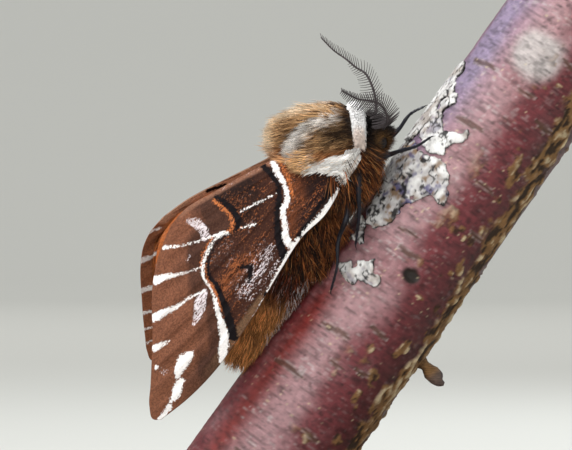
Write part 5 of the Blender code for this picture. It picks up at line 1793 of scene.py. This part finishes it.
def addBranch(look):
    branch, across, share = addGrid("branch_bark", bark["cells"])
    angle = (across * 360 + 270) % 360
    shrink = np.clip(np.minimum(share, 1 - share) / bark["cap"], 0, 1)  # the sawn ends close inwards
    share = np.clip((share - bark["cap"]) / (1 - 2 * bark["cap"]), 0, 1)
    along = branchFrame["start"] + (branchFrame["end"] - branchFrame["start"]) * share
    height, colour, crust = barkSurface(along, angle)
    ends = np.minimum(along - branchFrame["start"], branchFrame["end"] - along)
    height = np.minimum(np.clip(height, -0.4, 0.3), 0.3 * smooth(0.1, 1.2, ends))
    reach = (branchRadius(along) + height) * shrink
    points = fromBranch(along, angle, reach)
    branch.data.vertices.foreach_set("co", points.astype(np.float32).reshape(-1))
    disc = np.stack([reach, 0 * reach, 0 * reach], axis=1)
    wood = layered(plain(barkTint["wood"], len(reach)), barkTint,
                   ("woodDark", smooth(0.35, 0.65, smoothNoise(disc, 0.55, 60))),
                   ("woodDark", smooth(0.9, 0.2, reach)))
    colour = blendColours(colour, wood, smooth(0.965, 0.94, shrink))
    giveColours(branch.data, "bark", colour)
    giveValues(branch.data, "crust", crust)
    inward = along + (shrink - 1) * branchRadius(along)
    giveMap(branch.data, "barkMap", np.stack([np.unwrap(np.radians(angle)) * 7, inward], axis=1))
    with editMode():
        bpy.ops.mesh.remove_doubles(threshold=0.002 * mm)
        bpy.ops.mesh.select_all(action="SELECT")
        bpy.ops.mesh.normals_make_consistent(inside=False)
    shadeSmooth(50)
    branch.data.materials.append(look)
    return finishPiece(branch, "bark", "perch_branch")


branchLook = barkLook()
addBranch(branchLook)
print("branch done")

# Lichen crusts and the spur
lichen = {
    "step": 0.13,
    "rise": 0.16,
    "body": 0.14,
    "sunk": 0.12,
    "arc": math.pi / 180 * 7.1,
    "plates": {  # outlines as (along, degrees)
        "rim": (
            (43.2, 8), (42.8, 20), (40.4, 25), (37.9, 24), (35.4, 23), (33.8, 22), (32.6, 12),
            (33.4, -8), (36.0, -12), (39.0, -10), (41.5, -6),
        ),
        "main": (
            (42.7, 21), (41.3, 22), (40.6, 27), (39.9, 36), (38.9, 41), (37.6, 37), (36.4, 41),
            (36.1, 50), (36.4, 60), (37.0, 68), (36.0, 73), (34.9, 66), (34.2, 60), (33.6, 64),
            (33.4, 48), (33.8, 36), (34.4, 26), (36.2, 25), (38.4, 27), (40.6, 25),
        ),
        "lower": (
            (33.2, 10), (33.4, 30), (32.9, 46), (33.5, 62), (32.5, 72), (31.9, 83), (30.5, 84),
            (29.7, 88), (29.4, 73), (28.5, 67), (27.8, 60), (26.4, 60), (25.0, 56), (23.4, 49),
            (23.9, 36), (25.6, 26), (27.6, 22), (29.5, 8), (31.5, 6),
        ),
        "small": (
            (19.0, 39), (19.9, 48), (18.9, 52), (20.1, 57), (21.1, 64), (21.3, 69), (20.4, 70),
            (20.5, 79), (19.7, 82), (19.1, 76), (18.7, 67), (18.0, 64), (17.9, 49),
        ),
        "sliver": ((24.2, 18), (24.0, 37), (22.8, 42), (22.0, 53), (21.3, 47), (21.6, 34), (22.8, 30)),
        "back": (
            (36.0, 196), (38.0, 205), (38.6, 222), (36.6, 236), (34.0, 240), (32.4, 226), (33.2, 208),
        ),
        "foot": ((-3.0, 262), (0.5, 258), (2.4, 272), (1.2, 290), (-1.6, 296), (-4.2, 282)),
    },
}
lichenTint = linearTints({
    "pale": (229, 228, 226),
    "grey": (176, 172, 172),
    "blue": (92, 88, 122),
    "brown": (128, 102, 76),
    "black": (16, 13, 13),
})


def plateDistance(name, spots):  # mm inside a plate whose edge is lobed, on the unrolled bark
    outline = np.array(lichen["plates"][name], float) * (1, lichen["arc"])
    flat = np.c_[spots, 0 * spots[:, 0]]
    lobes = np.stack([smoothNoise(flat, 0.75, 41), smoothNoise(flat, 0.75, 42)], axis=1) - 0.5
    fine = np.stack([smoothNoise(flat, 0.28, 43), smoothNoise(flat, 0.28, 44)], axis=1) - 0.5
    return insideOutline(spots + 1.0 * lobes + 0.35 * fine, outline)


def lichenLook():
    look, tree, shader = newLook("lichen", Roughness=0.85, Specular_IOR_Level=0.2)
    grain, height = addMottle(tree, 1500.0, 2.0)
    shadeTone(tree, shader, readLayer(tree, "lichen"), rampNode(tree, grain, 0.0, 1.0, 0.78, 1.12))
    addBump(tree, shader, height, 0.7, 0.08)
    return look


def addPlate(name, look):
    step = lichen["step"]
    outline = np.array(lichen["plates"][name], float) * (1, lichen["arc"])
    low, high = outline.min(axis=0) - 1.0, outline.max(axis=0) + 1.0
    columns, rows = (int(math.ceil(size / step)) for size in high - low)
    grid = np.stack(np.meshgrid(np.arange(columns + 1), np.arange(rows + 1), indexing="ij"), axis=-1)
    grid = grid.reshape(-1, 2)
    spots = low + grid * step
    depth = plateDistance(name, spots)
    index = np.arange(len(grid)).reshape(columns + 1, rows + 1)
    cells = np.stack([index[:-1, :-1], index[1:, :-1], index[1:, 1:], index[:-1, 1:]], axis=-1)
    cells = cells.reshape(-1, 4)
    cells = cells[(depth[cells] > 0).sum(axis=1) >= 3]
    used = np.unique(cells)
    near = [plateDistance(name, spots[used] + move) for move in ((0.02, 0), (0, 0.02))]
    slope = np.stack(near, axis=1) - depth[used][:, None]
    slope /= np.maximum(np.linalg.norm(slope, axis=1), 1e-6)[:, None]
    moved = spots.copy()
    out = depth[used] < 0
    moved[used[out]] -= slope[out] * depth[used][out][:, None]
    rename = np.full(len(grid), -1)
    rename[used] = np.arange(len(used))
    cells = rename[cells]
    spots, depth = moved[used], np.maximum(depth[used], 0)
    flat = np.c_[spots, 0 * depth]
    rough = layeredNoise(flat, 0.9, 45)
    warts = smoothNoise(flat, 0.32, 46)
    top = lichen["rise"] + lichen["body"] * smooth(0, 0.5, depth) * (0.4 + rough) + 0.10 * (warts - 0.5)
    top += 0.10 * np.exp(-depth / 0.22) * smooth(0.4, 0.7, rough)
    angle = spots[:, 1] / lichen["arc"]
    bed = np.clip(barkSurface(spots[:, 0], angle % 360)[0], -0.2, 0.3)
    radius = branchRadius(spots[:, 0])
    upper = fromBranch(spots[:, 0], angle, radius + np.minimum(bed + top, 0.42))
    lower = fromBranch(spots[:, 0], angle, radius + bed - lichen["sunk"])
    points, quads = closedSheet(upper, lower, cells)
    piece = meshFrom("lichen_" + name, points, quads, look)
    # painted shadow: the underside and rim black, so each plate is edged by a dark shadow line on the bark
    underside = plain(lichenTint["black"], len(spots))
    giveColours(piece.data, "lichen", np.concatenate([plateColours(name, flat, depth), underside]))
    return finishPiece(piece, "bark")


def plateColours(name, flat, depth):  # pale, with worn and blotched places, and painted shadow in the cracks, gaps and a patchy band along the edges
    broken = name in ("lower", "sliver")
    worn = smooth(0.35, 0.6, layeredNoise(flat, 1.6, 47)) * (0.95 if broken else 0.45)
    cracks = smooth(0.032, 0.008, np.abs(layeredNoise(flat, 1.5, 53) - 0.5))
    cracks *= smooth(0.38, 0.48, smoothNoise(flat, 2.2, 54))
    gaps = smooth(0.57, 0.61, layeredNoise(flat, 0.9, 55)) * (1.0 if broken else 0.25)
    gaps *= smooth(0.3, 0.6, smoothNoise(flat, 0.3, 56))
    return layered(
        plain(lichenTint["pale"], len(flat)), lichenTint,
        ("grey", worn),
        ("brown", worn * smooth(0.45, 0.65, layeredNoise(flat, 0.6, 48))),
        ("blue", smooth(0.56, 0.66, layeredNoise(flat, 0.8, 49)) * worn),
        ("black", smooth(0.72, 0.78, smoothNoise(flat, 0.3, 50)) * 0.75),
        # painted shadow: black in the cracks and gaps
        ("black", np.maximum(cracks, gaps) * 0.92),
        # painted shadow: a patchy black band along the plate's edge
        ("black", smooth(0.16, 0.04, depth) * smooth(0.42, 0.5, smoothNoise(flat, 0.9, 57)) * 0.85),
    )


def addSpur(look):
    axis, across = branchAxes()
    route = np.array(bark["spur"])
    route = np.outer(route[:, 0], across) + np.outer(route[:, 1], axis)
    line = curveThrough(np.array(branchFrame["origin"]) + route)
    shares = np.linspace(0, 1, 48)
    radii = spread01(bark["spurRadii"], shares)
    points, faces = sweep(line(shares), radii, 40)
    middle = np.repeat(line(shares), 40, axis=0)
    away = unit(points[:-2] - middle)
    rough = layeredNoise(points[:-2], 1.0, 51) - 0.5
    points[:-2] += away * (0.35 * rough * smooth(0.02, 0.2, np.repeat(1 - shares, 40)))[:, None]
    solid = points * mm
    piece = meshFrom("branch_spur", solid, outwardFaces(solid, faces), look)
    bud = smooth(0.62, 0.8, np.append(np.repeat(shares, 40), (0, 1)))
    giveColours(piece.data, "bark", layered(
        plain(barkTint["crust"], len(points)), barkTint,
        ("crustDark", smooth(0.35, 0.7, layeredNoise(points, 0.8, 52))), ("bud", bud * 0.8)))
    giveValues(piece.data, "crust", np.full(len(points), 0.8))
    giveMap(piece.data, "barkMap", points[:, [0, 2]])
    return finishPiece(piece, "bark")


lichenFinish = lichenLook()
for name in lichen["plates"]:
    addPlate(name, lichenFinish)
addSpur(branchLook)
print("lichen and spur done")

# Stand: an oiled walnut base and a turned brass rod
stand = {
    "corner": 6.0,
    "cornerSteps": 14,
    "rim": 0.8,
    "rimSteps": 5,
    "rod": 2.0,
    "ferrule": 4.5,
    "sides": 64,
    "sink": 0.6,
}


def walnutLook():
    look, tree, shader = newLook("walnut", Roughness=0.38, Coat_Weight=0.15, Coat_Roughness=0.25)
    place = addNode(tree, "Mapping", Vector=objectPlace(tree), Scale=(18.0, 130.0, 60.0)).outputs[0]
    rings = addNode(tree, "TexWave", {"wave_type": "BANDS", "bands_direction": "Y"}, Vector=place,
                    Scale=1.1,
                    Distortion=7.0, Detail=4.0, Detail_Scale=1.6)
    fine = addNode(tree, "Mapping", Vector=objectPlace(tree), Scale=(90.0, 1400.0, 700.0)).outputs[0]
    pores = addNode(tree, "TexNoise", Vector=fine, Scale=9.0, Detail=4.0)
    grain, height = addMottle(tree, 120.0, 1.2)
    colour = mixColour(tree, rings.outputs["Fac"], opaque((62, 38, 26)), opaque((118, 76, 50)))
    pore = rampNode(tree, pores.outputs["Fac"], 0.34, 0.46)
    colour = mixColour(tree, pore, opaque((38, 24, 17)), colour)
    shadeTone(tree, shader, colour, rampNode(tree, grain, 0.0, 1.0, 0.85, 1.15))
    tree.links.new(rampNode(tree, rings.outputs["Fac"], 0.0, 1.0, 0.46, 0.34), shader.inputs["Roughness"])
    addBump(tree, shader, pore, 0.25, 0.06)
    return look


def brassLook():
    look, tree, shader = newLook("brass", Metallic=1.0)
    place = addNode(tree, "Mapping", Vector=objectPlace(tree), Scale=(40.0, 40.0, 2600.0)).outputs[0]
    turned = addNode(tree, "TexNoise", Vector=place, Scale=2.0, Detail=4.0)
    grain, height = addMottle(tree, 260.0, 1.5)
    colour = mixColour(tree, grain, (0.55, 0.36, 0.13, 1), (0.72, 0.52, 0.22, 1))
    tree.links.new(colour, shader.inputs["Base Color"])
    tree.links.new(rampNode(tree, turned.outputs["Fac"], 0.3, 0.7, 0.20, 0.36), shader.inputs["Roughness"])
    addBump(tree, shader, turned.outputs["Fac"], 0.15, 0.02)
    return look


def selectEdges(piece, chosen):  # those whose two ends the test takes
    with editMode("DESELECT"):
        bpy.ops.mesh.select_mode(type="EDGE")
        bpy.ops.mesh.select_all(action="DESELECT")
    for edge in piece.data.edges:
        edge.select = chosen(*(piece.data.vertices[v].co for v in edge.vertices))
    bpy.ops.object.mode_set(mode="EDIT")


def bevelEdges(piece, chosen, width, steps):
    selectEdges(piece, chosen)
    bpy.ops.mesh.bevel(offset=width * mm, segments=steps, affect="EDGES")
    bpy.ops.mesh.select_all(action="DESELECT")
    bpy.ops.object.mode_set(mode="OBJECT")


def addBase(look):
    low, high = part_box("stand_base")
    size = Vector(high) - Vector(low)
    selectNone()
    bpy.ops.mesh.primitive_cube_add(size=1, location=(Vector(low) + Vector(high)) / 2)
    base = named("stand_base_board")
    base.scale = size
    bpy.ops.object.transform_apply(location=True, scale=True)
    bevelEdges(base, lambda a, b: abs(a.z - b.z) > size.z / 2, stand["corner"], stand["cornerSteps"])
    bevelEdges(base, lambda a, b: min(a.z, b.z) > low[2] + size.z / 2, stand["rim"], stand["rimSteps"])
    shadeSmooth(35)
    base.data.materials.append(look)
    return finishPiece(base, "walnut", "stand_base")


def addRod(look):
    low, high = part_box("stand_rod")
    middle = ((low[0] + high[0]) / 2, (low[1] + high[1]) / 2)
    top = (high[2] - low[2]) / mm + stand["sink"]
    rod, foot = stand["rod"], stand["ferrule"]
    profile = ((0, 0), (foot - 0.3, 0), (foot, 0.3), (foot, 0.9), (foot - 0.3, 1.2), (foot - 0.9, 1.35),
               (rod + 1.0, 2.0), (rod + 0.7, 2.7), (rod + 0.3, 3.0), (rod, 3.1), (rod, top), (0, top))
    selectNone()
    bpy.ops.mesh.primitive_circle_add(vertices=len(profile), radius=1, location=(0, 0, 0))
    piece = named("stand_rod_turned")
    for vertex, (reach, height) in zip(piece.data.vertices, profile):
        vertex.co = (middle[0] + reach * mm, middle[1], low[2] + height * mm)
    with editMode():
        bpy.ops.mesh.spin(steps=stand["sides"], angle=2 * math.pi, center=(*middle, low[2]), axis=(0, 0, 1),
                          dupli=False)
        bpy.ops.mesh.select_all(action="SELECT")
        bpy.ops.mesh.remove_doubles(threshold=0.001 * mm)
        bpy.ops.mesh.normals_make_consistent(inside=False)
    shadeSmooth(40)
    piece.data.materials.append(look)
    return finishPiece(piece, "brass", "stand_rod")


addBase(walnutLook())
addRod(brassLook())
print("stand done")

# Camera, floor and light
camera = {"place": (-10.9, -406.0, 42.5), "width": 57.2, "plane": 397.0, "sensor": 36}  # mm
studio = {
    "floor": (0.62, 0.62, 0.58),
    "floorSize": 6,  # metres, as the next two
    "wallHeight": 3,
    "bend": 1.2,
    "world": 0.42,
    "lamps": (  # name, place in mm, size in mm, watts, colour
        ("sky", (-260, -200, 520), 420, 3.6, (1.0, 0.99, 0.97)),
        ("front", (-120, -560, 160), 420, 1.6, (1.0, 0.98, 0.95)),
        ("back", (220, 420, 360), 300, 1.2, (0.92, 0.96, 1.0)),
        ("wall", (0, 900, 1500), 1200, 17.0, (1.0, 0.99, 0.97)),
    ),
}


def addCamera():
    data = bpy.data.cameras.new("camera")
    data.sensor_width = camera["sensor"]
    data.lens = camera["sensor"] * camera["plane"] / camera["width"]
    data.clip_start = 0.01
    eye = bpy.data.objects.new("camera", data)
    bpy.context.scene.collection.objects.link(eye)
    eye.location = Vector(camera["place"]) * mm
    eye.rotation_euler = (math.pi / 2, 0, 0)
    bpy.context.scene.camera = eye


def addStage():  # a floor that bends up into a wall at the back
    size, wall = studio["floorSize"], studio["wallHeight"]
    selectNone()
    bpy.ops.mesh.primitive_plane_add(size=size, location=(0, 0, 0))
    floor = bpy.context.object
    floor.name = "floor"
    selectEdges(floor, lambda a, b: min(a.y, b.y) > size / 2 - 0.1)
    bpy.ops.mesh.extrude_region_move(TRANSFORM_OT_translate={"value": (0, 0, wall)})
    bpy.ops.object.mode_set(mode="OBJECT")
    applied(floor, "BEVEL", width=studio["bend"], segments=12)
    shadeSmooth()
    look, tree, shader = newLook("plain floor", Roughness=0.9, Specular_IOR_Level=0.2)
    grain, height = addMottle(tree, 3.0, 0.25)
    tone, pale = ((*(value * lit for value in studio["floor"]), 1) for lit in (1, 1.05))
    tree.links.new(mixColour(tree, grain, tone, pale), shader.inputs["Base Color"])
    floor.data.materials.append(look)


def addLamps():
    for name, place, size, watts, colour in studio["lamps"]:
        data = bpy.data.lights.new(name, "AREA")
        data.size = size * mm
        data.energy = watts
        data.color = colour
        lamp = bpy.data.objects.new(name, data)
        bpy.context.scene.collection.objects.link(lamp)
        lamp.location = Vector(place) * mm
        aim = Vector((0, 3 if name == "wall" else 0, 0.04)) - lamp.location
        lamp.rotation_euler = aim.to_track_quat("-Z", "Y").to_euler()
    world = bpy.data.worlds.new("studio")
    bpy.context.scene.world = world
    world.use_nodes = True
    world.node_tree.nodes["Background"].inputs["Color"].default_value = (0.93, 0.96, 1.0, 1)
    world.node_tree.nodes["Background"].inputs["Strength"].default_value = studio["world"]


addCamera()
addStage()
addLamps()
bpy.context.scene.view_settings.view_transform = "Standard"
print("stage done")
